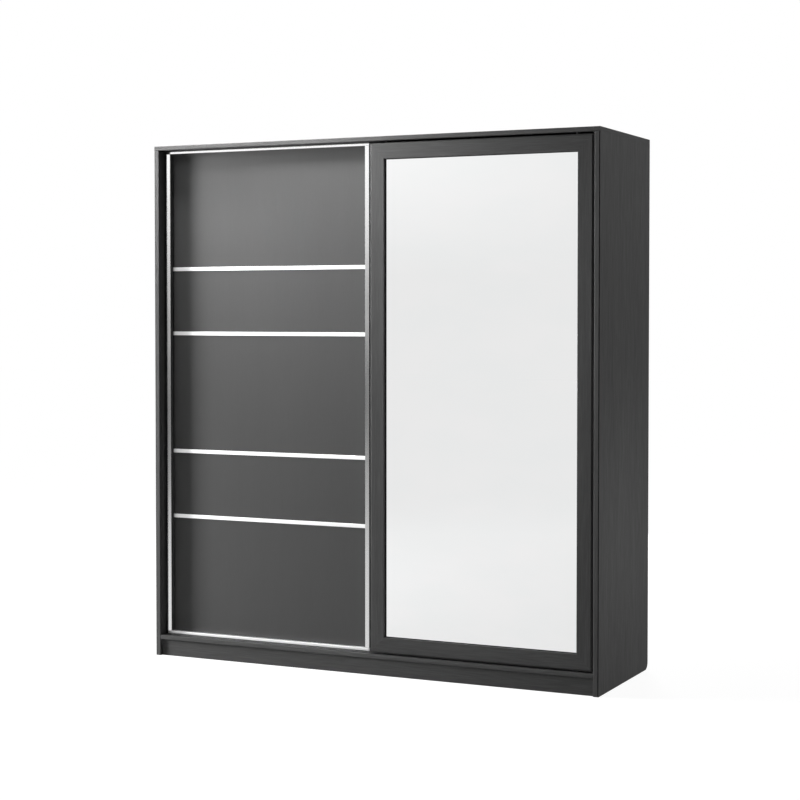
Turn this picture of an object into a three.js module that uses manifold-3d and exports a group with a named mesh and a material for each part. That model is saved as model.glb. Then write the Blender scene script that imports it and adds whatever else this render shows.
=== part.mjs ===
// A free-standing wardrobe with two sliding doors.
// Millimetres, Z up, the front faces -Y, the origin is the middle of the footprint on the floor.
// The left door has an aluminium frame and five panels and runs in the rear channels.
// The right door has a broad bevelled frame with a mirror and runs in the front channels.

import * as THREE from 'three';
import { mergeVertices } from 'three/addons/utils/BufferGeometryUtils.js';
import Module from 'manifold-3d';

const wasm = await Module();
wasm.setup();

// Overall size
const overallWidth = 2000;
const overallDepth = 620;
const overallHeight = 2180;

// Boards
const outerBoard = 22;
const levelBoard = 18;
const innerBoard = 18;
const plinthBoard = 16;
const backSheet = 4;
const boardEdgeRadius = 3;
const shelfEdgeRadius = 1.5;
const skirtingRadius = 30;
const footRadius = 4;

// Fits shared by all pieces
const seatGap = 0.3;
const cutOverrun = 5;

// Plinth and back
const plinthHeight = 70;
const plinthSetback = 15;
const rearPlinthInset = 44;
const backInset = 12;
const backGrooveDepth = 8;
const backJointFlange = 1.2;
const backJointWeb = 2;

// Interior
const interiorGap = 6.8;
const shelfHeight_shares = [0.175, 0.355, 0.535, 0.8];
const hangingShelfHeight_share = 0.8;
const shelfSetback = 20;
const railDrop = 62;
const railTubeHeight = 30;
const railTubeWidth = 15;
const railTubeWall = 1.2;
const socketPlate = 3;
const socketDepth = 12;
const socketRim = 3;
const socketFlange = 9;
const socketScrewRadius = 2;

// Rollers and the channels in the bottom board
const rollerRadius = 15;
const rollerWidth = 6;
const rollerRimRadius = 1;
const rollerTread = 3.6;
const rollerWeb = 3;
const rollerHubRadius = 6;
const rollerHubTaper = 0.8;
const axleRadius = 2.5;
const turningGap = 0.3;
const rollingGap = 0.3;
const rollerSidePlay = 1;
const channelWall = 1.5;
const channelFloor = 1.5;
const channelHeight = 5.5;

// Roller carriages
const carriageCheek = 2;
const carriageLength = 56;
const carriageFootLength = 34;
const carriageCap = 5.4;
const carriageWellPlay = 2;
const carriageCornerRadius = 4;
const carriageShoulder = 6;
const carriageInset = 70;
const reliefDepth = 1.5;
const reliefBorder = 2;
const gearScrewRadius = 1.9;

// Guide rollers and the channels in the top board
const guideRollerRadius = 6.2;
const guideRollerHeight = 7;
const guideRollerChamfer = 1;
const guideSideGap = 0.3;
const guideChannelHeight = 12;
const guideCeilingGap = 2;
const guidePinRadius = 2;
const guideCollarRadius = 3.4;
const guideHeadHeight = 0.9;
const guideBracketLength = 40;
const guideBracketHeight = 16;
const guideBracketRadius = 5;
const guideScrewInset = 7;

// Left door: aluminium frame and panels
const doorGap = 10;
const panelDoorSideGap = 10;
const panelDoorEndGap = 1.5;
const profileDepth = 18;
const profileRadius = 1.6;
const profileWall = 2;
const stileWidth = 17;
const stileRebate = 8.4;
const railLip = 12;
const railSlotDepth = 8;
const panelThickness = 8;
const stripHeight = 16;
const stripProud = 2;
const stripWeb = 2;
const stripRadius = 0.8;
const stripHeight_shares = [0.2456, 0.3808, 0.6245, 0.7572];
const interlockReach = 48;
const interlockSheet = 2;
const interlockSetback = 6;
const brushWidth = 10;
const brushPileWidth = 4;
const brushBase = 3;
const brushGap = 1;
const brushLip = 1.2;

// Right door: bevelled frame and mirror
const mirrorDoorSetback = 8;
const mirrorDoorThickness = 28;
const mirrorDoorSideGap = 6;
const mirrorDoorTopGap = 8;
const mirrorDoorBottomGap = 6;
const mirrorDoorOffset = 21;
const frameWidth = 64;
const bevelWidth = 7;
const bevelDepth = 4;
const frameInnerRadius = 1.5;
const mirrorRecess = 13;
const mirrorRebate = 8;
const mirrorThickness = 4;
const backingThickness = 6;
const pocketGap = 0.3;

// Points of an outline that lie closer than this are one point
const coincident = 0.001;

// Facets per quarter turn and per full turn
const smallArcFacets = 3;
const largeArcFacets = 8;
const rollerFacets = 32;
const guideRollerFacets = 24;
const pinFacets = 16;

// Places that follow from the sizes above. Depths are counted from the cabinet's front plane.
const innerHalfWidth = overallWidth / 2 - outerBoard;
const innerWidth = 2 * innerHalfWidth;
const floorTop = plinthHeight + levelBoard;
const ceiling = overallHeight - levelBoard;
const innerHeight = ceiling - floorTop;
const backFront = overallDepth - backInset - backSheet;
const partitionRear = backFront - seatGap - backJointFlange - seatGap;
const carriageWidth = rollerWidth + 2 * rollerSidePlay + 2 * carriageCheek;
const channelInner = rollerWidth + 2 * rollerSidePlay;
const channelOuter = channelInner + 2 * channelWall;
const trackLevel = floorTop - channelHeight + channelFloor;
const rollerCentreHeight = trackLevel + rollingGap + rollerRadius;
const guideChannelInner = 2 * (guideRollerRadius + guideSideGap);
const guideChannelOuter = guideChannelInner + 2 * channelWall;
const guideCeiling = ceiling + guideChannelHeight - channelFloor;
const guideRollerTop = guideCeiling - guideCeilingGap;
const frontRunDepth = mirrorDoorSetback + mirrorDoorThickness / 2;
const panelDoorSetback = mirrorDoorSetback + mirrorDoorThickness + doorGap;
const panelSlot = panelThickness + 2 * seatGap;
const legFront = panelDoorSetback + profileDepth + panelSlot;
const legDepth = carriageWidth + 2 * pocketGap + 2 * profileWall;
const rearRunDepth = legFront + legDepth / 2;
const interiorSetback = legFront + legDepth + interiorGap;
const panelDoorWidth = innerHalfWidth - panelDoorSideGap;
const panelDoorBottom = floorTop + panelDoorEndGap;
const panelDoorTop = ceiling - panelDoorEndGap;
const panelDoorHeight = panelDoorTop - panelDoorBottom;
const mirrorDoorWidth = innerHalfWidth - mirrorDoorSideGap - mirrorDoorOffset;
const mirrorDoorBottom = floorTop + mirrorDoorBottomGap;
const mirrorDoorTop = ceiling - mirrorDoorTopGap;
const mirrorDoorHeight = mirrorDoorTop - mirrorDoorBottom;
const carriageBottom = Math.max(mirrorDoorBottom, panelDoorBottom) + pocketGap;
const carriageWellTop = rollerCentreHeight + rollerRadius + carriageWellPlay;
const carriageTop = carriageWellTop + carriageCap;
const railLegHeight = carriageTop + pocketGap + profileWall - panelDoorBottom;

// Finishes
const charcoal = { color: 0x434446, roughness: 0.55, metalness: 0 };
const charcoalInterior = { color: 0x4a4b4d, roughness: 0.6, metalness: 0 };
const satinPanel = { color: 0x505152, roughness: 0.35, metalness: 0 };
const aluminium = { color: 0xd6d8da, roughness: 0.25, metalness: 1 };
const darkAluminium = { color: 0x2c2d2f, roughness: 0.4, metalness: 0.8 };
const silverMirror = { color: 0xe8eaec, roughness: 0.02, metalness: 1 };
const blackNylon = { color: 0x222223, roughness: 0.45, metalness: 0 };
const blackPlastic = { color: 0x1b1b1c, roughness: 0.5, metalness: 0 };
const blackPile = { color: 0x141414, roughness: 0.95, metalness: 0 };
const hardboard = { color: 0x55504a, roughness: 0.8, metalness: 0 };

// Which row axes an outline's two axes and its extrusion run along
const alongX = new THREE.Matrix4().set(0, 0, 1, 0, 1, 0, 0, 0, 0, 1, 0, 0, 0, 0, 0, 1);
const alongY = new THREE.Matrix4().set(1, 0, 0, 0, 0, 0, 1, 0, 0, 1, 0, 0, 0, 0, 0, 1);
const alongZ = new THREE.Matrix4();

// Rounds the corners [x, y, radius] of a closed outline and returns its points, anticlockwise.
function roundedPoints(corners, facets = smallArcFacets) {
  const points = [];
  corners.forEach(([x, y, radius = 0], index) => {
    const corner = new THREE.Vector2(x, y);
    if (radius <= 0) {
      points.push(corner);
      return;
    }
    const [beforeX, beforeY] = corners[(index + corners.length - 1) % corners.length];
    const [afterX, afterY] = corners[(index + 1) % corners.length];
    const before = new THREE.Vector2(beforeX, beforeY).sub(corner).normalize();
    const after = new THREE.Vector2(afterX, afterY).sub(corner).normalize();
    const halfAngle = Math.acos(THREE.MathUtils.clamp(before.dot(after), -1, 1)) / 2;
    const bisector = before.clone().add(after).normalize();
    const centre = corner.clone().addScaledVector(bisector, radius / Math.sin(halfAngle));
    const start = corner.clone().addScaledVector(before, radius / Math.tan(halfAngle)).sub(centre);
    const end = corner.clone().addScaledVector(after, radius / Math.tan(halfAngle)).sub(centre);
    const turn = Math.atan2(start.cross(end), start.dot(end));
    for (let step = 0; step <= facets; step += 1) {
      const origin = new THREE.Vector2();
      points.push(start.clone().rotateAround(origin, (turn * step) / facets).add(centre));
    }
  });
  const apart = points.filter(
    (point, index) => point.distanceTo(points[(index + 1) % points.length]) > coincident);
  return THREE.ShapeUtils.isClockWise(apart) ? apart.reverse() : apart;
}

// A prism of an outline, centred on its length. Holes are outlines too.
function prism(corners, length, axes = alongZ, holes = [], facets = smallArcFacets) {
  const shape = new THREE.Shape(roundedPoints(corners, facets));
  holes.forEach((hole) => shape.holes.push(new THREE.Path(roundedPoints(hole, facets))));
  const geometry = new THREE.ExtrudeGeometry(shape, { depth: length, bevelEnabled: false });
  geometry.translate(0, 0, -length / 2);
  geometry.applyMatrix4(axes);
  return facingOut(geometry);
}

// The volume that a closed triangle mesh holds, negative when its faces point in.
function signedVolume(geometry) {
  const flat = geometry.index ? geometry.toNonIndexed() : geometry;
  const position = flat.getAttribute('position');
  const [a, b, c] = [new THREE.Vector3(), new THREE.Vector3(), new THREE.Vector3()];
  let volume = 0;
  for (let i = 0; i < position.count; i += 3) {
    a.fromBufferAttribute(position, i);
    b.fromBufferAttribute(position, i + 1);
    c.fromBufferAttribute(position, i + 2);
    volume += a.dot(b.cross(c)) / 6;
  }
  return volume;
}

// The same mesh with only positions, shared corners merged and its faces pointing out.
function facingOut(geometry) {
  const bare = geometry.clone();
  bare.deleteAttribute('normal');
  bare.deleteAttribute('uv');
  const merged = mergeVertices(bare);
  if (signedVolume(merged) < 0) {
    const indices = Array.from(merged.index.array);
    for (let i = 0; i < indices.length; i += 3) {
      [indices[i + 1], indices[i + 2]] = [indices[i + 2], indices[i + 1]];
    }
    merged.setIndex(indices);
  }
  return merged;
}

function toSolid(geometry) {
  const merged = facingOut(geometry);
  return new wasm.Manifold(new wasm.Mesh({
    numProp: 3,
    vertProperties: new Float32Array(merged.getAttribute('position').array),
    triVerts: new Uint32Array(merged.index.array),
  }));
}

function toGeometry(solid) {
  const mesh = solid.getMesh();
  const geometry = new THREE.BufferGeometry();
  geometry.setAttribute('position', new THREE.BufferAttribute(new Float32Array(mesh.vertProperties), 3));
  geometry.setIndex(new THREE.BufferAttribute(new Uint32Array(mesh.triVerts), 1));
  return geometry;
}

function joined(first, ...others) {
  return toGeometry(others.reduce((solid, other) => solid.add(toSolid(other)), toSolid(first)));
}

function cut(body, ...tools) {
  return toGeometry(tools.reduce((solid, tool) => solid.subtract(toSolid(tool)), toSolid(body)));
}

function common(first, second) {
  return toGeometry(toSolid(first).intersect(toSolid(second)));
}

function box(width, depth, height, x = 0, y = 0, z = 0) {
  return new THREE.BoxGeometry(width, depth, height).translate(x, y, z);
}

function cylinder(radius, length, facets = pinFacets) {
  return new THREE.CylinderGeometry(radius, radius, length, facets);
}

// Adds a named mesh to a group at a place.
function addPiece(group, name, geometry, finish, x = 0, y = 0, z = 0) {
  const shaded = geometry.index ? geometry.toNonIndexed() : geometry.clone();
  shaded.computeVertexNormals();
  const mesh = new THREE.Mesh(shaded, new THREE.MeshStandardMaterial(finish));
  mesh.name = name;
  mesh.position.set(x, y, z);
  group.add(mesh);
  return mesh;
}

// Carcass

// A side stands on the floor. Its front edges are rounded, its inner face has the groove for the
// back sheet, and its lower corners are rounded, the rear one wide enough to clear a skirting board.
function sidePanelGeometry(inward) {
  const outer = (-inward * outerBoard) / 2;
  const inner = (inward * outerBoard) / 2;
  const grooveBottom = inner - inward * backGrooveDepth;
  const plan = [
    [outer, 0, boardEdgeRadius],
    [inner, 0, boardEdgeRadius],
    [inner, backFront - seatGap],
    [grooveBottom, backFront - seatGap],
    [grooveBottom, backFront + backSheet + seatGap],
    [inner, backFront + backSheet + seatGap],
    [inner, overallDepth],
    [outer, overallDepth],
  ];
  const height = ceiling - seatGap;
  const elevation = [
    [0, -height / 2, footRadius],
    [overallDepth, -height / 2, skirtingRadius],
    [overallDepth, height / 2],
    [0, height / 2],
  ];
  return common(
    prism(plan, height),
    prism(elevation, outerBoard + 2 * cutOverrun, alongX, [], largeArcFacets),
  );
}

function addSides(group) {
  const x = overallWidth / 2 - outerBoard / 2;
  const z = (ceiling - seatGap) / 2;
  addPiece(group, 'side_panel_left', sidePanelGeometry(1), charcoal, -x, 0, z);
  addPiece(group, 'side_panel_right', sidePanelGeometry(-1), charcoal, x, 0, z);
}

// The top covers the sides. Stopped grooves in its underside hold the guide channels and the back.
function addTop(group) {
  const edge = [
    [0, -levelBoard / 2, boardEdgeRadius],
    [overallDepth, -levelBoard / 2],
    [overallDepth, levelBoard / 2],
    [0, levelBoard / 2, boardEdgeRadius],
  ];
  const groove = (length, width, depth, y) =>
    box(length, width, depth + cutOverrun, 0, y, -levelBoard / 2 + (depth - cutOverrun) / 2);
  const guideGroove = (y) =>
    groove(innerWidth, guideChannelOuter + 2 * seatGap, guideChannelHeight + seatGap, y);
  const backLength = innerWidth + 2 * backGrooveDepth;
  const backGroove =
    groove(backLength, backSheet + 2 * seatGap, backGrooveDepth, backFront + backSheet / 2);
  const geometry = cut(
    prism(edge, overallWidth, alongX),
    guideGroove(frontRunDepth),
    guideGroove(rearRunDepth),
    backGroove,
  );
  addPiece(group, 'top_panel', geometry, charcoal, 0, 0, overallHeight - levelBoard / 2);
}

// The bottom lies between the sides. Its section has the channels' grooves and the back's groove.
function addBottom(group) {
  const top = levelBoard / 2;
  const grooveCorners = (centre, width, depth) => [
    [centre + width / 2, top],
    [centre + width / 2, top - depth],
    [centre - width / 2, top - depth],
    [centre - width / 2, top],
  ];
  const channelGroove = channelOuter + 2 * seatGap;
  const edge = [
    [0, -top, boardEdgeRadius],
    [overallDepth, -top],
    [overallDepth, top],
    ...grooveCorners(backFront + backSheet / 2, backSheet + 2 * seatGap, backGrooveDepth),
    ...grooveCorners(rearRunDepth, channelGroove, channelHeight + seatGap),
    ...grooveCorners(frontRunDepth, channelGroove, channelHeight + seatGap),
    [0, top, boardEdgeRadius],
  ];
  const length = innerWidth - 2 * seatGap;
  addPiece(group, 'bottom_panel', prism(edge, length, alongX), charcoal, 0, 0, floorTop - top);
}

function addPlinth(group) {
  const height = plinthHeight - seatGap;
  const length = innerWidth - 2 * seatGap;
  const rearFace = overallDepth - rearPlinthInset;
  const board = () => box(length, plinthBoard, height);
  const front = plinthSetback + plinthBoard / 2;
  const rear = rearFace - plinthBoard / 2;
  addPiece(group, 'plinth_front', board(), charcoal, 0, front, height / 2);
  addPiece(group, 'plinth_rear', board(), charcoal, 0, rear, height / 2);
  const bearerLength = rear - front - plinthBoard - 2 * seatGap;
  const bearer = box(plinthBoard, bearerLength, height);
  addPiece(group, 'plinth_bearer', bearer, charcoal, 0, (front + rear) / 2, height / 2);
}

// A board inside the carcass, with its front edge rounded. It spans x0 to x1 and y0 to y1.
function standingBoard(thickness, y0, y1, height) {
  const plan = [
    [-thickness / 2, y0, shelfEdgeRadius],
    [thickness / 2, y0, shelfEdgeRadius],
    [thickness / 2, y1],
    [-thickness / 2, y1],
  ];
  return prism(plan, height);
}

function lyingBoard(thickness, y0, y1, width) {
  const edge = [
    [y0, -thickness / 2, shelfEdgeRadius],
    [y1, -thickness / 2],
    [y1, thickness / 2],
    [y0, thickness / 2, shelfEdgeRadius],
  ];
  return prism(edge, width, alongX);
}

function addInterior(group) {
  const middle = floorTop + innerHeight / 2;
  const partition = standingBoard(
    innerBoard, interiorSetback, partitionRear, innerHeight - 2 * seatGap);
  addPiece(group, 'centre_partition', partition, charcoalInterior, 0, 0, middle);

  const bayWidth = innerHalfWidth - innerBoard / 2;
  const bayCentre = innerBoard / 2 + bayWidth / 2;
  const shelfFront = interiorSetback + shelfSetback;
  const shelf = () => lyingBoard(
    innerBoard, shelfFront, backFront - seatGap, bayWidth - 2 * seatGap);
  shelfHeight_shares.forEach((share, index) => {
    const z = floorTop + share * innerHeight;
    addPiece(group, `shelf_left_${index + 1}`, shelf(), charcoalInterior, -bayCentre, 0, z);
  });
  const hangingShelf = floorTop + hangingShelfHeight_share * innerHeight;
  addPiece(group, 'shelf_right_top', shelf(), charcoalInterior, bayCentre, 0, hangingShelf);
  addHangingRail(group, bayCentre, bayWidth, hangingShelf - railDrop);
}

// An upright oval outline, or a circle where both sizes are alike.
function oval(width, height, centreHeight = 0) {
  const low = centreHeight - height / 2;
  const high = centreHeight + height / 2;
  return [
    [-width / 2, low, width / 2],
    [width / 2, low, width / 2],
    [width / 2, high, width / 2],
    [-width / 2, high, width / 2],
  ];
}

// An open oval tube between two sockets. Each has a flange with two screw holes and a cup that the
// tube's end slips into.
function addHangingRail(group, centre, bayWidth, z) {
  const y = (interiorSetback + shelfSetback + backFront) / 2;
  const facets = largeArcFacets;
  const bore = [oval(railTubeWidth - 2 * railTubeWall, railTubeHeight - 2 * railTubeWall)];
  const tubeLength = bayWidth - 2 * (seatGap + socketPlate + seatGap);
  const tube = prism(oval(railTubeWidth, railTubeHeight), tubeLength, alongX, bore, facets);
  addPiece(group, 'hanging_rail', tube, aluminium, centre, y, z);

  const cupWidth = railTubeWidth + 2 * (seatGap + socketRim);
  const cupHeight = railTubeHeight + 2 * (seatGap + socketRim);
  const pocket = oval(railTubeWidth + 2 * seatGap, railTubeHeight + 2 * seatGap);
  const screwHole = (side) => oval(
    2 * socketScrewRadius, 2 * socketScrewRadius, (side * (cupHeight + socketFlange)) / 2);
  const socket = (facing) => {
    const body = prism(oval(cupWidth, cupHeight), socketPlate + socketDepth, alongX, [], facets);
    const outline = oval(cupWidth, cupHeight + 2 * socketFlange);
    const flange = prism(outline, socketPlate, alongX, [screwHole(-1), screwHole(1)], facets);
    flange.translate((-facing * socketDepth) / 2, 0, 0);
    const hollow = prism(pocket, socketDepth + cutOverrun, alongX, [], facets);
    hollow.translate((facing * (socketPlate + cutOverrun)) / 2, 0, 0);
    return cut(joined(body, flange), hollow);
  };
  const reach = bayWidth / 2 - seatGap - (socketPlate + socketDepth) / 2;
  addPiece(group, 'rail_socket_left', socket(1), blackPlastic, centre - reach, y, z);
  addPiece(group, 'rail_socket_right', socket(-1), blackPlastic, centre + reach, y, z);
}

// Two sheets in the grooves, joined behind the partition by a plastic profile of H section.
function addBack(group) {
  const grooveReach = backGrooveDepth - 2 * seatGap;
  const height = innerHeight + 2 * grooveReach;
  const inner = backJointWeb / 2 + seatGap;
  const width = innerHalfWidth + grooveReach - inner;
  const y = backFront + backSheet / 2;
  const z = floorTop + innerHeight / 2;
  const sheet = () => box(width, backSheet, height);
  addPiece(group, 'back_panel_left', sheet(), hardboard, -(inner + width / 2), y, z);
  addPiece(group, 'back_panel_right', sheet(), hardboard, inner + width / 2, y, z);

  const web = backJointWeb / 2;
  const flange = innerBoard / 2;
  const slot = backSheet / 2 + seatGap;
  const rim = slot + backJointFlange;
  const section = [
    [-flange, -rim], [flange, -rim], [flange, -slot], [web, -slot],
    [web, slot], [flange, slot], [flange, rim], [-flange, rim],
    [-flange, slot], [-web, slot], [-web, -slot], [-flange, -slot],
  ];
  const joint = prism(section, innerHeight - 2 * seatGap);
  addPiece(group, 'back_joint_profile', joint, blackPlastic, 0, y, z);
}

// A U section of the given outer width and height, open upwards, standing on zero.
function channelSection(outer, height) {
  const half = outer / 2;
  const inner = half - channelWall;
  return [
    [-half, 0], [half, 0], [half, height], [inner, height],
    [inner, channelFloor], [-inner, channelFloor], [-inner, height], [-half, height],
  ];
}

function addChannels(group) {
  const length = innerWidth - 2 * seatGap;
  const track = () => prism(channelSection(channelOuter, channelHeight), length, alongX);
  const trackBase = floorTop - channelHeight;
  addPiece(group, 'bottom_channel_front', track(), darkAluminium, 0, frontRunDepth, trackBase);
  addPiece(group, 'bottom_channel_rear', track(), darkAluminium, 0, rearRunDepth, trackBase);

  const hanging = channelSection(guideChannelOuter, guideChannelHeight).map(([y, z]) => [y, -z]);
  const guide = () => prism(hanging, length, alongX);
  const guideBase = ceiling + guideChannelHeight;
  addPiece(group, 'top_channel_front', guide(), darkAluminium, 0, frontRunDepth, guideBase);
  addPiece(group, 'top_channel_rear', guide(), darkAluminium, 0, rearRunDepth, guideBase);
}

// Running gear, the same for both doors

// A nylon roller with a wide rim, a thin web and a hub, turning about Y.
function rollerGeometry() {
  const half = rollerWidth / 2;
  const bore = axleRadius + turningGap;
  const rimInner = rollerRadius - rollerTread;
  const web = rollerWeb / 2;
  const profile = [
    [bore, -half],
    [rollerHubRadius, -half],
    [rollerHubRadius + rollerHubTaper, -web],
    [rimInner - rollerHubTaper, -web],
    [rimInner, -half],
    [rollerRadius - rollerRimRadius, -half],
    [rollerRadius, -half + rollerRimRadius],
    [rollerRadius, half - rollerRimRadius],
    [rollerRadius - rollerRimRadius, half],
    [rimInner, half],
    [rimInner - rollerHubTaper, web],
    [rollerHubRadius + rollerHubTaper, web],
    [rollerHubRadius, half],
    [bore, half],
    [bore, -half],
  ].map(([radius, y]) => new THREE.Vector2(radius, y));
  return facingOut(new THREE.LatheGeometry(profile, rollerFacets));
}

// A moulded housing that tapers to its foot, with a well for the roller, the axle across the well,
// and at each end a screw hole between two relief pockets.
function carriageGeometry() {
  const top = carriageTop - rollerCentreHeight;
  const foot = carriageBottom - rollerCentreHeight;
  const outline = [
    [-carriageFootLength / 2, foot, carriageCornerRadius],
    [carriageFootLength / 2, foot, carriageCornerRadius],
    [carriageLength / 2, top - carriageShoulder, carriageCornerRadius],
    [carriageLength / 2, top],
    [-carriageLength / 2, top],
    [-carriageLength / 2, top - carriageShoulder, carriageCornerRadius],
  ];
  const wellTop = carriageWellTop - rollerCentreHeight;
  const wellLength = 2 * wellTop;
  const wellBottom = foot - cutOverrun;
  const well = box(wellLength, rollerWidth + 2 * rollerSidePlay, wellTop - wellBottom,
    0, 0, (wellTop + wellBottom) / 2);

  const pocketInner = wellTop + reliefBorder;
  const pocketOuter = carriageLength / 2 - reliefBorder;
  const pocketTop = top - reliefBorder;
  const taper = (top - carriageShoulder - foot) / (carriageLength / 2 - carriageFootLength / 2);
  const pocketFoot = top - carriageShoulder - (pocketOuter - pocketInner) * taper;
  const relief = (end, face) => {
    const corners = [
      [end * pocketInner, pocketTop],
      [end * pocketOuter, pocketTop],
      [end * pocketOuter, top - carriageShoulder],
      [end * pocketInner, pocketFoot],
    ];
    const pocket = prism(corners, reliefDepth + cutOverrun, alongY);
    return pocket.translate(0, (face * (carriageWidth + cutOverrun - reliefDepth)) / 2, 0);
  };
  const screwHole = (end) => cylinder(gearScrewRadius, top - foot + 2 * cutOverrun)
    .rotateX(Math.PI / 2)
    .translate((end * (pocketInner + pocketOuter)) / 2, 0, (top + foot) / 2);
  const ends = [-1, 1];
  const housing = cut(
    prism(outline, carriageWidth, alongY),
    well,
    ...ends.flatMap((end) => ends.map((face) => relief(end, face))),
    ...ends.map(screwHole),
  );
  return joined(housing, cylinder(axleRadius, carriageWidth));
}

// A crowned nylon roller that turns about Z.
function guideRollerGeometry() {
  const half = guideRollerHeight / 2;
  const bore = guidePinRadius + turningGap;
  const profile = [
    [bore, -half],
    [guideRollerRadius - guideRollerChamfer, -half],
    [guideRollerRadius, -half + guideRollerChamfer],
    [guideRollerRadius, half - guideRollerChamfer],
    [guideRollerRadius - guideRollerChamfer, half],
    [bore, half],
    [bore, -half],
  ].map(([radius, y]) => new THREE.Vector2(radius, y));
  return facingOut(new THREE.LatheGeometry(profile, guideRollerFacets).rotateX(Math.PI / 2));
}

// A block that seats in the door's top, with a collar, a pin and a head that hold the guide roller,
// and a screw hole between two relief pockets on each side of the pin. Its zero is the block's top.
function guideBracketGeometry(doorTop) {
  const corner = guideBracketRadius;
  const halfLength = guideBracketLength / 2;
  const halfWidth = carriageWidth / 2;
  const plan = [
    [-halfLength, -halfWidth, corner], [halfLength, -halfWidth, corner],
    [halfLength, halfWidth, corner], [-halfLength, halfWidth, corner],
  ];
  const middle = -guideBracketHeight / 2;
  const solidBlock = prism(plan, guideBracketHeight).translate(0, 0, middle);
  const screwX = halfLength - guideScrewInset;
  const pocketLength = 2 * (screwX - guideCollarRadius - reliefBorder);
  const relief = (end, face) => box(
    pocketLength, reliefDepth + cutOverrun, guideBracketHeight - 2 * reliefBorder,
    end * screwX, (face * (carriageWidth + cutOverrun - reliefDepth)) / 2, middle);
  const screwHole = (end) => cylinder(gearScrewRadius, guideBracketHeight + 2 * cutOverrun)
    .rotateX(Math.PI / 2)
    .translate(end * screwX, 0, middle);
  const ends = [-1, 1];
  const block = cut(
    solidBlock,
    ...ends.flatMap((end) => ends.map((face) => relief(end, face))),
    ...ends.map(screwHole),
  );
  const blockTop = doorTop - pocketGap;
  const rollerTop = guideRollerTop - blockTop;
  const rollerBottom = rollerTop - guideRollerHeight;
  const collarTop = rollerBottom - turningGap;
  const headBottom = rollerTop + turningGap;
  const headTop = headBottom + guideHeadHeight;
  const profile = [
    [0, -guideBracketHeight / 2],
    [guideCollarRadius, -guideBracketHeight / 2],
    [guideCollarRadius, collarTop],
    [guidePinRadius, collarTop],
    [guidePinRadius, headBottom],
    [guideCollarRadius, headBottom],
    [guideCollarRadius, headTop],
    [0, headTop],
  ].map(([radius, y]) => new THREE.Vector2(radius, y));
  const pin = new THREE.LatheGeometry(profile, pinFacets).rotateX(Math.PI / 2);
  return joined(block, pin);
}

// The places of a door's two sets of running gear, along X.
function gearPlaces(doorLeft, doorRight) {
  return [doorLeft + carriageInset, doorRight - carriageInset];
}

function addRunningGear(group, doorName, places, depth, doorTop) {
  const rollerZ = guideRollerTop - guideRollerHeight / 2;
  places.forEach((x, index) => {
    const name = (piece) => `${doorName}_${piece}_${index + 1}`;
    const set = new THREE.Group();
    set.position.set(x, depth, 0);
    addPiece(set, name('carriage'), carriageGeometry(), blackPlastic, 0, 0, rollerCentreHeight);
    addPiece(set, name('roller'), rollerGeometry(), blackNylon, 0, 0, rollerCentreHeight);
    addPiece(set, name('guide_bracket'), guideBracketGeometry(doorTop), blackPlastic,
      0, 0, doorTop - pocketGap);
    addPiece(set, name('guide_roller'), guideRollerGeometry(), blackNylon, 0, 0, rollerZ);
    group.add(set);
  });
}

// Left door

// A stile is a hollow extrusion with a rebate for the panels. Its section starts at the outer edge.
function stileGeometry(inward, length) {
  const x = (distance) => inward * distance;
  const section = [
    [x(0), 0, profileRadius],
    [x(stileWidth), 0, profileRadius],
    [x(stileWidth), profileDepth],
    [x(stileRebate), profileDepth],
    [x(stileRebate), profileDepth + panelSlot - seatGap],
    [x(0), profileDepth + panelSlot - seatGap],
  ];
  const core = [
    [x(profileWall), profileWall],
    [x(stileWidth - profileWall), profileWall],
    [x(stileWidth - profileWall), profileDepth - profileWall],
    [x(profileWall), profileDepth - profileWall],
  ];
  return prism(section, length, alongZ, [core]);
}

// A rail has a low lip in front of the panel and a tall hollow leg behind it that holds the gear.
// Its section is drawn for the bottom rail, in depth and height from the rail's outer edge.
function railSection(upward) {
  const z = (height) => upward * height;
  const slotEnd = profileDepth + panelSlot;
  const legInnerFront = slotEnd + profileWall;
  const legInnerRear = slotEnd + legDepth - profileWall;
  return [
    [0, z(0), profileRadius],
    [legInnerFront, z(0)],
    [legInnerFront, z(railLegHeight - profileWall)],
    [legInnerRear, z(railLegHeight - profileWall)],
    [legInnerRear, z(0)],
    [slotEnd + legDepth, z(0)],
    [slotEnd + legDepth, z(railLegHeight)],
    [slotEnd, z(railLegHeight)],
    [slotEnd, z(railLip - railSlotDepth)],
    [profileDepth, z(railLip - railSlotDepth)],
    [profileDepth, z(railLip)],
    [0, z(railLip), profileRadius],
  ];
}

// A strip of H section: a flat face, a web between two panels and a rear flange.
function stripSection() {
  const front = -stripProud;
  const rear = panelSlot + stripProud;
  const half = stripHeight / 2;
  const web = stripWeb / 2;
  return [
    [front, -half, stripRadius], [0, -half], [0, -web], [panelSlot, -web],
    [panelSlot, -half], [rear, -half], [rear, half], [panelSlot, half],
    [panelSlot, web], [0, web], [0, half], [front, half, stripRadius],
  ];
}

function addPanelDoorFrame(door) {
  const stileLength = panelDoorHeight - 2 * (railLip + seatGap);
  const middle = panelDoorBottom + panelDoorHeight / 2;
  const front = panelDoorSetback;
  const left = stileGeometry(1, stileLength);
  const right = stileGeometry(-1, stileLength);
  addPiece(door, 'left_door_stile_left', left, aluminium, -panelDoorWidth, front, middle);
  addPiece(door, 'left_door_stile_right', right, aluminium, 0, front, middle);
  const railBottom = prism(railSection(1), panelDoorWidth, alongX);
  const railTop = prism(railSection(-1), panelDoorWidth, alongX);
  const x = -panelDoorWidth / 2;
  addPiece(door, 'left_door_rail_bottom', railBottom, aluminium, x, front, panelDoorBottom);
  addPiece(door, 'left_door_rail_top', railTop, aluminium, x, front, panelDoorTop);
}

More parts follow.
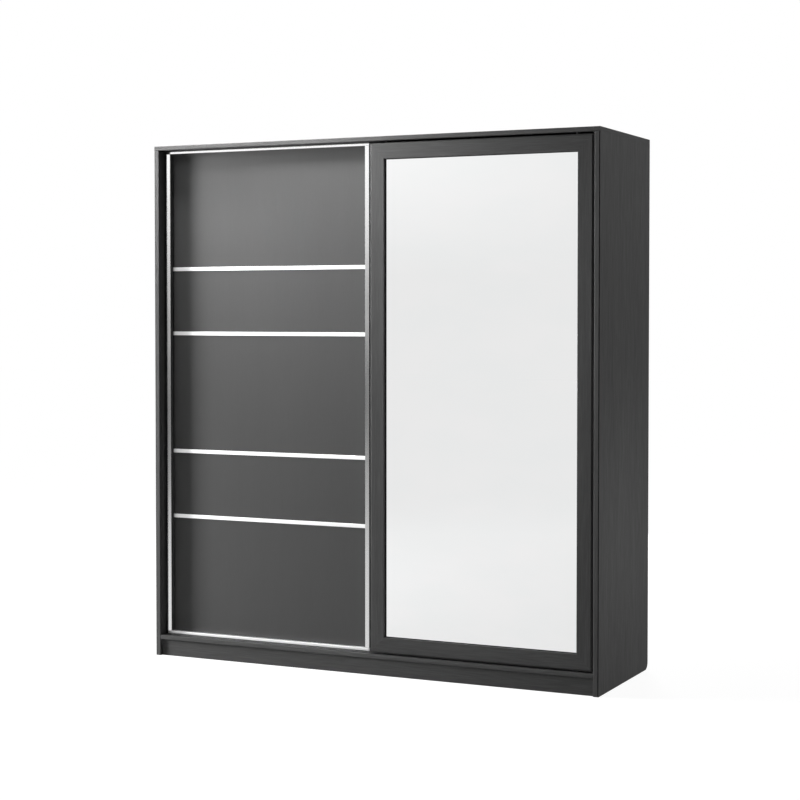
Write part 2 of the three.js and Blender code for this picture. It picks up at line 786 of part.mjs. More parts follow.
function addPanelsAndStrips(door) {
  const x = -panelDoorWidth / 2;
  const slotFront = panelDoorSetback + profileDepth;
  const stripLength = panelDoorWidth - 2 * (stileWidth + seatGap);
  const stripCentres = stripHeight_shares.map((share) => panelDoorBottom + share * panelDoorHeight);
  stripCentres.forEach((z, index) => {
    const strip = prism(stripSection(), stripLength, alongX);
    addPiece(door, `left_door_strip_${index + 1}`, strip, aluminium, x, slotFront, z);
  });

  const slotFloor = railLip - railSlotDepth + seatGap;
  const webGap = stripWeb / 2 + seatGap;
  const lows = [panelDoorBottom + slotFloor, ...stripCentres.map((z) => z + webGap)];
  const highs = [...stripCentres.map((z) => z - webGap), panelDoorTop - slotFloor];
  const panelWidth = panelDoorWidth - 2 * (stileRebate + seatGap);
  lows.forEach((low, index) => {
    const height = highs[index] - low;
    const panel = box(panelWidth, panelThickness, height);
    addPiece(door, `left_door_panel_${index + 1}`, panel, satinPanel,
      x, slotFront + seatGap + panelThickness / 2, low + height / 2);
  });
}

// An angle on the right stile reaches behind the right door. Two lips at its edge hold a brush that
// points forward.
function addInterlock(door) {
  const middle = panelDoorBottom + panelDoorHeight / 2;
  const plateFront = panelDoorSetback + interlockSetback;
  const sheet = interlockSheet;
  const slot = brushWidth / 2 + seatGap;
  const wall = slot + brushLip;
  const mouth = brushPileWidth / 2 + seatGap;
  const lipBack = -(brushBase + 2 * seatGap);
  const lipFront = lipBack - brushLip;
  const brushX = interlockReach - wall;
  const c = brushX - seatGap;
  const section = [
    [0, 0], [c - wall, 0], [c - wall, lipFront], [c - mouth, lipFront], [c - mouth, lipBack],
    [c - slot, lipBack], [c - slot, 0], [c + slot, 0], [c + slot, lipBack], [c + mouth, lipBack],
    [c + mouth, lipFront], [c + wall, lipFront], [c + wall, sheet], [sheet, sheet],
    [sheet, profileDepth - interlockSetback], [0, profileDepth - interlockSetback],
  ];
  const angle = prism(section, panelDoorHeight);
  addPiece(door, 'left_door_interlock', angle, darkAluminium, seatGap, plateFront, middle);

  const tip = mirrorDoorSetback + mirrorDoorThickness + brushGap - (plateFront - seatGap);
  const base = brushWidth / 2;
  const pile = brushPileWidth / 2;
  const brush = [
    [-base, 0], [-base, -brushBase], [-pile, -brushBase], [-pile, tip],
    [pile, tip], [pile, -brushBase], [base, -brushBase], [base, 0],
  ];
  addPiece(door, 'left_door_brush', prism(brush, panelDoorHeight), blackPile,
    brushX, plateFront - seatGap, middle);
}

function panelDoor() {
  const door = new THREE.Group();
  addPanelDoorFrame(door);
  addPanelsAndStrips(door);
  addInterlock(door);
  addRunningGear(door, 'left_door', gearPlaces(-panelDoorWidth, 0), rearRunDepth, panelDoorTop);
  return door;
}

// Right door

// The frame's section, in distance from the door's outer edge and depth from its face. It has a bevel
// round the outside and a rebate behind for the mirror and its backing board.
function frameSection() {
  return roundedPoints([
    [0, bevelDepth],
    [bevelWidth, 0],
    [frameWidth, 0, frameInnerRadius],
    [frameWidth, mirrorRecess],
    [frameWidth - mirrorRebate, mirrorRecess],
    [frameWidth - mirrorRebate, mirrorDoorThickness],
    [0, mirrorDoorThickness],
  ]);
}

// A frame member runs along its first axis from 0 to length, with both ends mitred.
function mitredMember(length, toPlace) {
  const section = frameSection();
  const count = section.length;
  const trim = seatGap / 2;
  const vertices = [];
  section.forEach(({ x, y }) => vertices.push(toPlace(x + trim, x, y)));
  section.forEach(({ x, y }) => vertices.push(toPlace(length - x - trim, x, y)));
  const indices = [];
  section.forEach((_, i) => {
    const next = (i + 1) % count;
    indices.push(i, next, count + next, i, count + next, count + i);
  });
  THREE.ShapeUtils.triangulateShape(section, []).forEach(([a, b, c]) => {
    indices.push(a, c, b, count + a, count + b, count + c);
  });
  const geometry = new THREE.BufferGeometry();
  geometry.setAttribute('position', new THREE.Float32BufferAttribute(vertices.flat(), 3));
  geometry.setIndex(indices);
  return facingOut(geometry);
}

function addMirrorDoorFrame(door, places) {
  const width = mirrorDoorWidth;
  const height = mirrorDoorHeight;
  const pocketWidth = carriageWidth + 2 * pocketGap;
  const pocket = (length, depth, z) => places.map((x) => box(
    length + 2 * pocketGap, pocketWidth, depth + cutOverrun, x, mirrorDoorThickness / 2, z));
  const gearPocketTop = carriageTop + pocketGap - mirrorDoorBottom;
  const gearPocket = pocket(carriageLength, gearPocketTop, (gearPocketTop - cutOverrun) / 2);
  const guidePocketDepth = guideBracketHeight + 2 * pocketGap;
  const guidePocket = pocket(
    guideBracketLength, guidePocketDepth, height - (guidePocketDepth - cutOverrun) / 2);

  const left = mitredMember(height, (s, u, v) => [u, v, s]);
  const right = mitredMember(height, (s, u, v) => [width - u, v, s]);
  const bottom = cut(mitredMember(width, (s, u, v) => [s, v, u]), ...gearPocket);
  const top = cut(mitredMember(width, (s, u, v) => [s, v, height - u]), ...guidePocket);
  addPiece(door, 'right_door_stile_left', left, charcoal);
  addPiece(door, 'right_door_stile_right', right, charcoal);
  addPiece(door, 'right_door_rail_bottom', bottom, charcoal);
  addPiece(door, 'right_door_rail_top', top, charcoal);
}

function addMirror(door) {
  const glassInset = frameWidth - mirrorRebate + seatGap;
  const glassWidth = mirrorDoorWidth - 2 * glassInset;
  const glassHeight = mirrorDoorHeight - 2 * glassInset;
  const x = mirrorDoorWidth / 2;
  const z = mirrorDoorHeight / 2;
  const glassFront = mirrorRecess + seatGap;
  const backingFront = glassFront + mirrorThickness + seatGap;
  addPiece(door, 'right_door_mirror', box(glassWidth, mirrorThickness, glassHeight), silverMirror,
    x, glassFront + mirrorThickness / 2, z);
  addPiece(door, 'right_door_backing_board', box(glassWidth, backingThickness, glassHeight), hardboard,
    x, backingFront + backingThickness / 2, z);
}

function mirrorDoor() {
  const door = new THREE.Group();
  const doorLeft = mirrorDoorOffset;
  const leaf = new THREE.Group();
  leaf.position.set(doorLeft, mirrorDoorSetback, mirrorDoorBottom);
  addMirrorDoorFrame(leaf, gearPlaces(0, mirrorDoorWidth));
  addMirror(leaf);
  door.add(leaf);
  const places = gearPlaces(doorLeft, doorLeft + mirrorDoorWidth);
  addRunningGear(door, 'right_door', places, frontRunDepth, mirrorDoorTop);
  return door;
}

function carcass() {
  const group = new THREE.Group();
  addSides(group);
  addTop(group);
  addBottom(group);
  addPlinth(group);
  addInterior(group);
  addBack(group);
  addChannels(group);
  return group;
}

const wardrobe = new THREE.Group();
wardrobe.position.y = -overallDepth / 2;
wardrobe.add(carcass(), panelDoor(), mirrorDoor());

export default wardrobe;
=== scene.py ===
"""Looks of a free-standing wardrobe with two sliding doors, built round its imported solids.

Lengths are in metres in the cabinet's own frame: X to the right, Y to the wall, Z up, with the
origin on the floor in the middle of the footprint. The sections of trim and the rings of fittings
are in millimetres.
"""

import logging
import math
from collections.abc import Sequence
from dataclasses import dataclass, replace
from enum import Enum
from typing import Any, ClassVar

import bmesh
import bpy
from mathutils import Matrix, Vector


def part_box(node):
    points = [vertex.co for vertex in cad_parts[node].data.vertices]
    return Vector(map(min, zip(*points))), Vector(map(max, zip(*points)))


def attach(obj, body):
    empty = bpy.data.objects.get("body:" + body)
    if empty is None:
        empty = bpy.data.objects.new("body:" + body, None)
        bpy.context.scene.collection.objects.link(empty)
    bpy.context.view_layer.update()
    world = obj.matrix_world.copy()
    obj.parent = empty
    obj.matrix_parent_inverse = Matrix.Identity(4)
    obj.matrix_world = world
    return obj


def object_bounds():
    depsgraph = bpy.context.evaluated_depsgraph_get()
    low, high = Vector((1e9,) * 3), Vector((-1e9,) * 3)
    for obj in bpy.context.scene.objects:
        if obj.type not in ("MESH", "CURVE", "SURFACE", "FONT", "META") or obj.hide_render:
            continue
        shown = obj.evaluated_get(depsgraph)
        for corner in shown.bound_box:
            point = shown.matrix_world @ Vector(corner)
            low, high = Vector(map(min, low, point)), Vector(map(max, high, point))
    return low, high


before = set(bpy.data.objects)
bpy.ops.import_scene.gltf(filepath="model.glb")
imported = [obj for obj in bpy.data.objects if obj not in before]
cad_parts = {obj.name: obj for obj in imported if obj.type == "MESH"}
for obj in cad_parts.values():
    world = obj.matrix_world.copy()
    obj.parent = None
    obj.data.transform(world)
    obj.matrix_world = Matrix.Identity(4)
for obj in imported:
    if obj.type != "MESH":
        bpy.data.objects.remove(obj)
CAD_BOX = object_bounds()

Material = bpy.types.Material
Object = bpy.types.Object
Socket = bpy.types.NodeSocket
Tree = bpy.types.NodeTree
Points = Sequence[tuple[float, ...]]

logging.basicConfig(level=logging.INFO, format="%(name)s: %(message)s")
LOG = logging.getLogger("wardrobe")

MM = 0.001
# Faces of a section that turn more than this meet in an edge that the eye reads as sharp.
SHARP = math.radians(30)
# Most of a noise lies within this spread of its middle, and each finer layer fades by the fall.
NOISE_MIDDLE = 0.5
NOISE_SPREAD = 0.2
NOISE_FALL = 0.55


class Along(Enum):
    """The axis that the grain, the die lines or the brushing follows."""

    X = 0
    Y = 1
    Z = 2


def to_linear(colour: str) -> tuple[float, float, float, float]:
    """Turns an sRGB hex colour to the linear values that Blender's sockets take.

    Args:
        colour: six hex digits after a hash, such as "#46474a".

    Returns:
        Linear red, green and blue, and an alpha of 1.
    """
    channels = [int(colour[i : i + 2], 16) / 255 for i in (1, 3, 5)]
    linear = [c / 12.92 if c <= 0.04045 else ((c + 0.055) / 1.055) ** 2.4 for c in channels]
    return linear[0], linear[1], linear[2], 1.0


def set_inputs(node: bpy.types.Node, inputs: dict[str | int, Any]) -> None:
    """Sets or links a node's inputs.

    Args:
        node: the node.
        inputs: a value, or an output socket to link, for each input by its name or index.
    """
    for name, value in inputs.items():
        if isinstance(value, Socket):
            node.id_data.links.new(value, node.inputs[name])
        else:
            node.inputs[name].default_value = value


def add_node(
    tree: Tree, kind: str, inputs: dict[str | int, Any] | None = None, **settings: Any
) -> bpy.types.Node:
    """Adds a node with its settings and links.

    Args:
        tree: the tree that gets the node.
        kind: the node's type name.
        inputs: its inputs, as set_inputs() takes them.
        settings: the node's own properties.

    Returns:
        The new node.
    """
    node = tree.nodes.new(kind)
    for name, value in settings.items():
        setattr(node, name, value)
    set_inputs(node, inputs or {})
    return node


class Surface:
    """A material in the making: a tree with a Principled shader and its output."""

    def __init__(self, name: str, colour: str) -> None:
        """Starts a material of one plain colour.

        Args:
            name: the material's name.
            colour: its sRGB hex colour.
        """
        plain = to_linear(colour)
        self.material = bpy.data.materials.new(name)
        self.material.use_nodes = True
        self.material.diffuse_color = plain
        self.tree = self.material.node_tree
        self.tree.nodes.clear()
        self.shader = add_node(self.tree, "ShaderNodeBsdfPrincipled", {"Base Color": plain})
        add_node(self.tree, "ShaderNodeOutputMaterial", {"Surface": self.shader.outputs["BSDF"]})

    def streaks(self, along: Along, width: float, length: float, detail: float = 2.0) -> Socket:
        """Makes a noise on object coordinates that is drawn out along one axis.

        Args:
            along: the axis that the streaks follow.
            width: a streak's width in metres.
            length: a streak's length in metres.
            detail: how many finer layers the noise has.

        Returns:
            The noise.
        """
        scale = [1 / width] * 3
        scale[along.value] = 1 / length
        place = add_node(self.tree, "ShaderNodeTexCoord").outputs["Object"]
        drawn = add_node(self.tree, "ShaderNodeMapping", {"Vector": place, "Scale": scale})
        noise = {"Vector": drawn.outputs["Vector"], "Scale": 1.0}
        noise |= {"Detail": detail, "Roughness": NOISE_FALL}
        return add_node(self.tree, "ShaderNodeTexNoise", noise).outputs["Fac"]

    def tint(self, noise: Socket, *colours: str, spread: float = 0.15) -> Socket:
        """Colours the surface by a noise.

        Args:
            noise: the noise.
            colours: sRGB hex colours, from the noise's low parts to its high ones.
            spread: how far from the noise's middle the first and the last colour lie.

        Returns:
            The colour.
        """
        ramp = add_node(self.tree, "ShaderNodeValToRGB", {"Fac": noise})
        elements = ramp.color_ramp.elements
        while len(elements) < len(colours):
            elements.new(1.0)
        step = 2 * spread / (len(colours) - 1)
        for i, (element, colour) in enumerate(zip(elements, colours)):
            element.position = NOISE_MIDDLE - spread + i * step
            element.color = to_linear(colour)
        set_inputs(self.shader, {"Base Color": ramp.outputs["Color"]})
        return ramp.outputs["Color"]

    def roughen(self, noise: Socket, middle: float, spread: float) -> None:
        """Lets the roughness wander with a noise.

        Args:
            noise: the noise.
            middle: the roughness at the noise's middle.
            spread: how much is added where the noise is high and taken where it is low.
        """
        ends = {"From Min": NOISE_MIDDLE - NOISE_SPREAD, "From Max": NOISE_MIDDLE + NOISE_SPREAD}
        ends |= {"To Min": middle - spread, "To Max": middle + spread}
        wander = add_node(self.tree, "ShaderNodeMapRange", {"Value": noise, **ends})
        set_inputs(self.shader, {"Roughness": wander.outputs["Result"]})

    def bump(self, height: Socket, depth: float, strength: float) -> None:
        """Gives the surface a relief that is too fine for its mesh.

        Args:
            height: the relief.
            depth: its depth in metres.
            strength: how much of it shows.
        """
        relief = {"Height": height, "Distance": depth, "Strength": strength}
        normal = add_node(self.tree, "ShaderNodeBump", relief).outputs["Normal"]
        set_inputs(self.shader, {"Normal": normal})


@dataclass(frozen=True)
class Finish:
    """What every finish has: a name and a colour, and a way to make its material.

    A finish that pieces of this script get also says which of the record's slots they take.
    """

    slot: ClassVar[str]
    name: str
    colour: str

    def material(self) -> Material:
        """Makes the finish's material.

        Returns:
            The material.
        """
        surface = Surface(self.name, self.colour)
        self.paint(surface)
        return surface.material

    def paint(self, surface: Surface) -> None:
        """Adds the finish's own nodes and values.

        Args:
            surface: the material in the making.
        """
        raise NotImplementedError


@dataclass(frozen=True)
class FacedBoard(Finish):
    """Particle board faced with a printed decor paper in resin, pressed with a fine wood grain.

    The eye sees a dull dark sheet with faint streaks that run one way. Real pores are about 0.3 mm
    wide and 20 mm long, finer than a pixel of the render, so the streaks are drawn 3 mm wide. The
    carcass's front edges have a glued-on edging 1 mm thick, which is painted lighter by the share
    that painted_edge_highlight says: a painted highlight for the light those edges catch.
    """

    along: Along
    dark: str
    light: str
    roughness: float
    specular: float
    figure: float = 0.35
    painted_edge_highlight: float = 0.0
    band_thickness: float = 1 * MM

    def paint(self, surface: Surface) -> None:
        """Prints the grain, presses the pores and paints a highlight on the front edges.

        Args:
            surface: the material in the making.
        """
        pores = surface.streaks(self.along, width=3 * MM, length=90 * MM, detail=4.0)
        broad = surface.streaks(self.along, width=45 * MM, length=700 * MM)
        print_layers = {0: self.figure, 2: pores, 3: broad}
        grain = add_node(surface.tree, "ShaderNodeMix", print_layers, data_type="FLOAT")
        decor = surface.tint(grain.outputs[0], self.dark, self.colour, self.light, spread=0.14)
        lit = {"Color": decor, "Value": self.brightness(surface.tree)}
        face = add_node(surface.tree, "ShaderNodeHueSaturation", lit).outputs["Color"]
        set_inputs(surface.shader, {"Base Color": face, "Specular IOR Level": self.specular})
        surface.roughen(pores, self.roughness, spread=-0.05)
        surface.bump(pores, depth=0.06 * MM, strength=0.5)

    def brightness(self, tree: Tree) -> Socket:
        """Works out how bright the decor is: 1 on the faces, and more on the front edges, a
        painted highlight.

        Args:
            tree: the material's tree.

        Returns:
            The brightness.
        """
        place = add_node(tree, "ShaderNodeTexCoord").outputs["Object"]
        depth = add_node(tree, "ShaderNodeSeparateXYZ", {0: place}).outputs["Y"]
        front = CAD_BOX[0].y + self.band_thickness
        edge = add_node(tree, "ShaderNodeMath", {0: depth, 1: front}, operation="LESS_THAN")
        lighter = {0: edge.outputs[0], 1: self.painted_edge_highlight, 2: 1.0}
        return add_node(tree, "ShaderNodeMath", lighter, operation="MULTIPLY_ADD").outputs[0]


@dataclass(frozen=True)
class AnodisedAluminium(Finish):
    """Extruded aluminium, etched satin and anodised.

    The eye sees a bright metal whose reflections are drawn out across faint die lines along the
    profile. The lines are about 0.2 mm apart on the real one and 1.5 mm here, so that they show.
    """

    slot: ClassVar[str] = "anodised_aluminium"
    along: Along
    roughness: float

    def paint(self, surface: Surface) -> None:
        """Draws the die lines and the clouding of the etch.

        Args:
            surface: the material in the making.
        """
        lines = surface.streaks(self.along, width=1.5 * MM, length=1500 * MM)
        clouds = surface.streaks(self.along, width=60 * MM, length=400 * MM)
        surface.roughen(clouds, self.roughness, spread=0.04)
        set_inputs(surface.shader, {"Metallic": 1.0})
        surface.bump(lines, depth=0.01 * MM, strength=0.15)


@dataclass(frozen=True)
class PlatedSteel(Finish):
    """Drawn steel tube or turned steel, zinc or nickel plated: smooth, bright, faintly clouded."""

    slot: ClassVar[str] = "rail_metal"
    roughness: float

    def paint(self, surface: Surface) -> None:
        """Clouds the plating.

        Args:
            surface: the material in the making.
        """
        clouds = surface.streaks(Along.X, width=8 * MM, length=30 * MM, detail=3.0)
        surface.roughen(clouds, self.roughness, spread=0.05)
        set_inputs(surface.shader, {"Metallic": 1.0})


@dataclass(frozen=True)
class SilveredGlass(Finish):
    """Clear 4 mm float glass, silvered behind: a sharp, faintly cool reflection.

    Float glass is drawn out of true by a few micrometres over a hand's width, and wiping leaves a
    film that dulls it here and there.
    """

    film: str

    def paint(self, surface: Surface) -> None:
        """Wipes the film on the glass and draws it a little out of true.

        Args:
            surface: the material in the making.
        """
        wiped = surface.streaks(Along.X, width=160 * MM, length=320 * MM)
        surface.tint(wiped, self.film, self.colour)
        set_inputs(surface.shader, {"Roughness": 0.0, "Metallic": 1.0})
        waves = surface.streaks(Along.Z, width=180 * MM, length=700 * MM, detail=1.0)
        surface.bump(waves, depth=0.02 * MM, strength=0.1)


@dataclass(frozen=True)
class MouldedPlastic(Finish):
    """Plastic moulded in a spark-eroded tool, which leaves fine pits about 0.3 mm apart.

    The eye sees a soft highlight, broken up by the pits. Extruded rubber has a coarser skin.
    """

    slot: ClassVar[str] = "black_plastic"
    roughness: float
    grit: float = 0.3 * MM
    specular: float = 0.5

    def paint(self, surface: Surface) -> None:
        """Pits the surface and lets its dullness wander as the melt flowed.

        Args:
            surface: the material in the making.
        """
        set_inputs(surface.shader, {"Specular IOR Level": self.specular})
        pits = surface.streaks(Along.Z, width=self.grit, length=self.grit)
        flow = surface.streaks(Along.Z, width=12 * MM, length=12 * MM)
        surface.roughen(flow, self.roughness, spread=0.05)
        surface.bump(pits, depth=0.02 * MM, strength=0.3)


@dataclass(frozen=True)
class BrushPile(Finish):
    """Dense polypropylene pile, cut level: black, with a faint sheen on its tips."""

    slot: ClassVar[str] = "black_pile"
    dark: str

    def paint(self, surface: Surface) -> None:
        """Parts the pile into tufts with a sheen.

        Args:
            surface: the material in the making.
        """
        tufts = surface.streaks(Along.Y, width=0.8 * MM, length=8 * MM)
        surface.tint(tufts, self.dark, self.colour)
        set_inputs(surface.shader, {"Roughness": 0.9, "Sheen Weight": 0.3})
        surface.bump(tufts, depth=0.4 * MM, strength=0.6)


@dataclass(frozen=True)
class FibreBoard(Finish):
    """Thin pressed fibre board, lacquered dark: matt, with a felted fleck of about 2 mm."""

    dark: str
    light: str
    clouding: float = 0.4

    def paint(self, surface: Surface) -> None:
        """Felts the fibres under the lacquer.

        Args:
            surface: the material in the making.
        """
        fleck = surface.streaks(Along.Z, width=2 * MM, length=3 * MM, detail=5.0)
        clouds = surface.streaks(Along.Z, width=120 * MM, length=160 * MM)
        fibres = {0: self.clouding, 2: fleck, 3: clouds}
        felt = add_node(surface.tree, "ShaderNodeMix", fibres, data_type="FLOAT")
        surface.tint(felt.outputs[0], self.dark, self.light)
        set_inputs(surface.shader, {"Roughness": 0.75, "Specular IOR Level": 0.3})
        surface.bump(fleck, depth=0.08 * MM, strength=0.4)


# The carcass and the mirror's frame: one dull decor, cut so that the grain follows each board.
UPRIGHT_BOARD = FacedBoard(
    "charcoal_board_upright_grain",
    "#494949",
    Along.Z,
    dark="#434343",
    light="#505050",
    roughness=0.5,
    specular=0.1,
    # The front edges' edging is painted lighter: a painted highlight where those edges catch the
    # light.
    painted_edge_highlight=0.17,
)
LEVEL_BOARD = replace(UPRIGHT_BOARD, name="charcoal_board_level_grain", along=Along.X)
DEPTH_BOARD = replace(
    UPRIGHT_BOARD, name="charcoal_board_front_to_back_grain", along=Along.Y, painted_edge_highlight=0.0
)
# The inside has a slightly lighter decor, so that its boards read in the shade.
INTERIOR_UPRIGHT_BOARD = FacedBoard(
    "interior_board_upright_grain",
    "#515153",
    Along.Z,
    dark="#4c4c4e",
    light="#575759",
    roughness=0.55,
    specular=0.15,
)
INTERIOR_LEVEL_BOARD = replace(
    INTERIOR_UPRIGHT_BOARD, name="interior_board_level_grain", along=Along.X
)
# The left door's panels are pressed smoother: almost no grain shows, only a soft sheen.
DOOR_PANEL = FacedBoard(
    "satin_door_panel",
    "#4b4b4b",
    Along.Z,
    dark="#4a4a4a",
    light="#4c4c4c",
    roughness=0.4,
    specular=0.15,
)
# The strips are etched more than the stiles and the top rail, which hold sharper highlights.
LEVEL_ALUMINIUM = AnodisedAluminium("satin_aluminium_level", "#fafafa", Along.X, roughness=0.4)
UPRIGHT_ALUMINIUM = replace(
    LEVEL_ALUMINIUM, name="satin_aluminium_upright", along=Along.Z, roughness=0.17
)
TOP_RAIL_ALUMINIUM = replace(LEVEL_ALUMINIUM, name="satin_aluminium_top_rail", roughness=0.15)
# The interlock and the channels are dyed nearly black in the anodising bath.
DARK_LEVEL_ALUMINIUM = replace(LEVEL_ALUMINIUM, name="dark_aluminium_level", colour="#2f3032")
DARK_UPRIGHT_ALUMINIUM = replace(
    DARK_LEVEL_ALUMINIUM, name="dark_aluminium_upright", along=Along.Z
)
# The hanging rail's tube, the pins, the screws and the axles.
RAIL_STEEL = PlatedSteel("plated_steel", "#c9cbcd", roughness=0.21)
# The right door's glass.
MIRROR = SilveredGlass("silvered_float_glass", "#f9f9f9", film="#f7f8f8")
# Housings, guides, sockets and covers: a plain satin black.
BLACK_PLASTIC = MouldedPlastic("black_plastic", "#1d1d1f", roughness=0.5)
# The rollers' nylon is a little shinier than the housings.
BLACK_NYLON = MouldedPlastic("black_nylon", "#222224", roughness=0.4)
# Extruded rubber is duller. The eye sees it as a thin dark or grey line. The black rubber is
# partly painted shade: a dark line on the mirror door's left edge and round its glass, where shade
# falls.
BLACK_RUBBER = MouldedPlastic(
    "black_rubber", "#151515", roughness=0.85, grit=0.6 * MM, specular=0.08
)
GREY_RUBBER = MouldedPlastic("grey_rubber", "#4a4a4a", roughness=0.7, grit=0.6 * MM, specular=0.2)
# The lipping is extruded as well, and dull. Its black is partly painted shade: a dark line on each
# side's front outer corner, which is in shade.
BLACK_SHADE_LIPPING = MouldedPlastic("black_edge_lipping", "#121213", roughness=0.75, specular=0.08)
# Painted shade: the dark that the eye sees in a drilled hole.
BORE_SHADE = MouldedPlastic("bore_shade", "#0c0c0d", roughness=0.8)
# The brush that closes the gap between the doors.
BLACK_PILE = BrushPile("black_brush_pile", "#1c1c1d", dark="#0d0d0e")
# The back sheets and the mirror's backing.
BACK_BOARD = FibreBoard("lacquered_fibre_board", "#4d4945", dark="#474440", light="#54504b")


class Palette:
    """Makes each finish's material once and puts it on objects."""

    def __init__(self) -> None:
        """Starts with no material made."""
        self.made: dict[Finish, Material] = {}

    def material(self, finish: Finish) -> Material:
        """Looks up a finish's material, and makes it at its first use.

        Args:
            finish: the finish.

        Returns:
            Its material.
        """
        if finish not in self.made:
            self.made[finish] = finish.material()
        return self.made[finish]

    def dress(self, finish: Finish, *names: str) -> None:
        """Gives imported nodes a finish.

        Args:
            finish: the finish.
            names: the nodes' names.
        """
        for name in names:
            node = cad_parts[name]
            if not node.material_slots:
                node.data.materials.append(None)
            for place in node.material_slots:
                place.material = self.material(finish)
        LOG.info("dressed %d nodes in %s", len(names), finish.name)


def add_object(name: str, data: bpy.types.ID) -> Object:
    """Adds an object to the scene, at the origin.

    Args:
        name: the object's name.
        data: its mesh, lamp or camera.

    Returns:
        The new object.
    """
    thing = bpy.data.objects.new(name, data)
    bpy.context.scene.collection.objects.link(thing)
    return thing


def mesh_object(name: str, body: bmesh.types.BMesh) -> Object:
    """Turns a bmesh into an object at the origin.

    Args:
        name: the object's name.
        body: the mesh, which is freed.

    Returns:
        The new object.
    """
    mesh = bpy.data.meshes.new(name)
    body.to_mesh(mesh)
    body.free()
    return add_object(name, mesh)


def turned(rings: Points, sides: int) -> bmesh.types.BMesh:
    """Makes a closed turned body about Z.

    Args:
        rings: radius and height of each ring, starting and ending on the axis. A third number
            draws in the points between the four arms of a cross recess.
        sides: how many sides it has.

    Returns:
        The body as a bmesh.
    """
    body = bmesh.new()
    made = []
    for radius, height, *drawn_in in rings:
        if radius == 0:
            made.append([body.verts.new((0, 0, height))])
            continue
        ring = []
        for side in range(sides):
            angle = 2 * math.pi * side / sides
            reach = radius * (drawn_in[0] if drawn_in and side % (sides // 4) else 1)
            ring.append(body.verts.new((reach * math.cos(angle), reach * math.sin(angle), height)))
        made.append(ring)
    for low, high in zip(made, made[1:]):
        for side in range(sides):
            after = (side + 1) % sides
            corners = [low[side % len(low)], low[after % len(low)]]
            corners += [high[after % len(high)], high[side % len(high)]]
            body.faces.new(list(dict.fromkeys(corners)))
    bmesh.ops.recalc_face_normals(body, faces=body.faces)
    return body


def upright_bar(name: str, section: Points, low: float, high: float) -> Object:
    """Makes a bar of one section that stands along Z.

    Args:
        name: the object's name.
        section: X and Y of each corner, in metres.
        low: the height of its foot.
        high: the height of its top.

    Returns:
        The new object.
    """
    body = bmesh.new()
    foot = [body.verts.new((x, y, low)) for x, y in section]
    top = [body.verts.new((x, y, high)) for x, y in section]
    body.faces.new(foot)
    body.faces.new(list(reversed(top)))
    for i, corner in enumerate(foot):
        after = (i + 1) % len(foot)
        body.faces.new([corner, top[i], top[after], foot[after]])
    bmesh.ops.recalc_face_normals(body, faces=body.faces)
    for face in body.faces:
        face.smooth = True
    for edge in body.edges:
        edge.smooth = edge.calc_face_angle() < SHARP
    return mesh_object(name, body)


def mitred_frame(name: str, low: Vector, high: Vector, section: Points) -> Object:
    """Sweeps a closed section round an upright opening, mitred at its four corners.

    Args:
        name: the object's name.
        low: the opening's lower left corner, at the depth where the section starts.
        high: its upper right corner.
        section: each point's way in from the opening's edge and its depth, in metres.

    Returns:
        The frame, facing outwards.
    """
    body = bmesh.new()
    rings = []
    for inset, depth in section:
        left, right = low.x + inset, high.x - inset
        foot, head = low.z + inset, high.z - inset
        corners = ((left, foot), (right, foot), (right, head), (left, head))
        rings.append([body.verts.new((x, low.y + depth, z)) for x, z in corners])
    for ring, after in zip(rings, rings[1:] + rings[:1]):
        for corner in range(4):
            beyond = (corner + 1) % 4
            body.faces.new((ring[corner], ring[beyond], after[beyond], after[corner]))
    bmesh.ops.recalc_face_normals(body, faces=body.faces)
    return mesh_object(name, body)


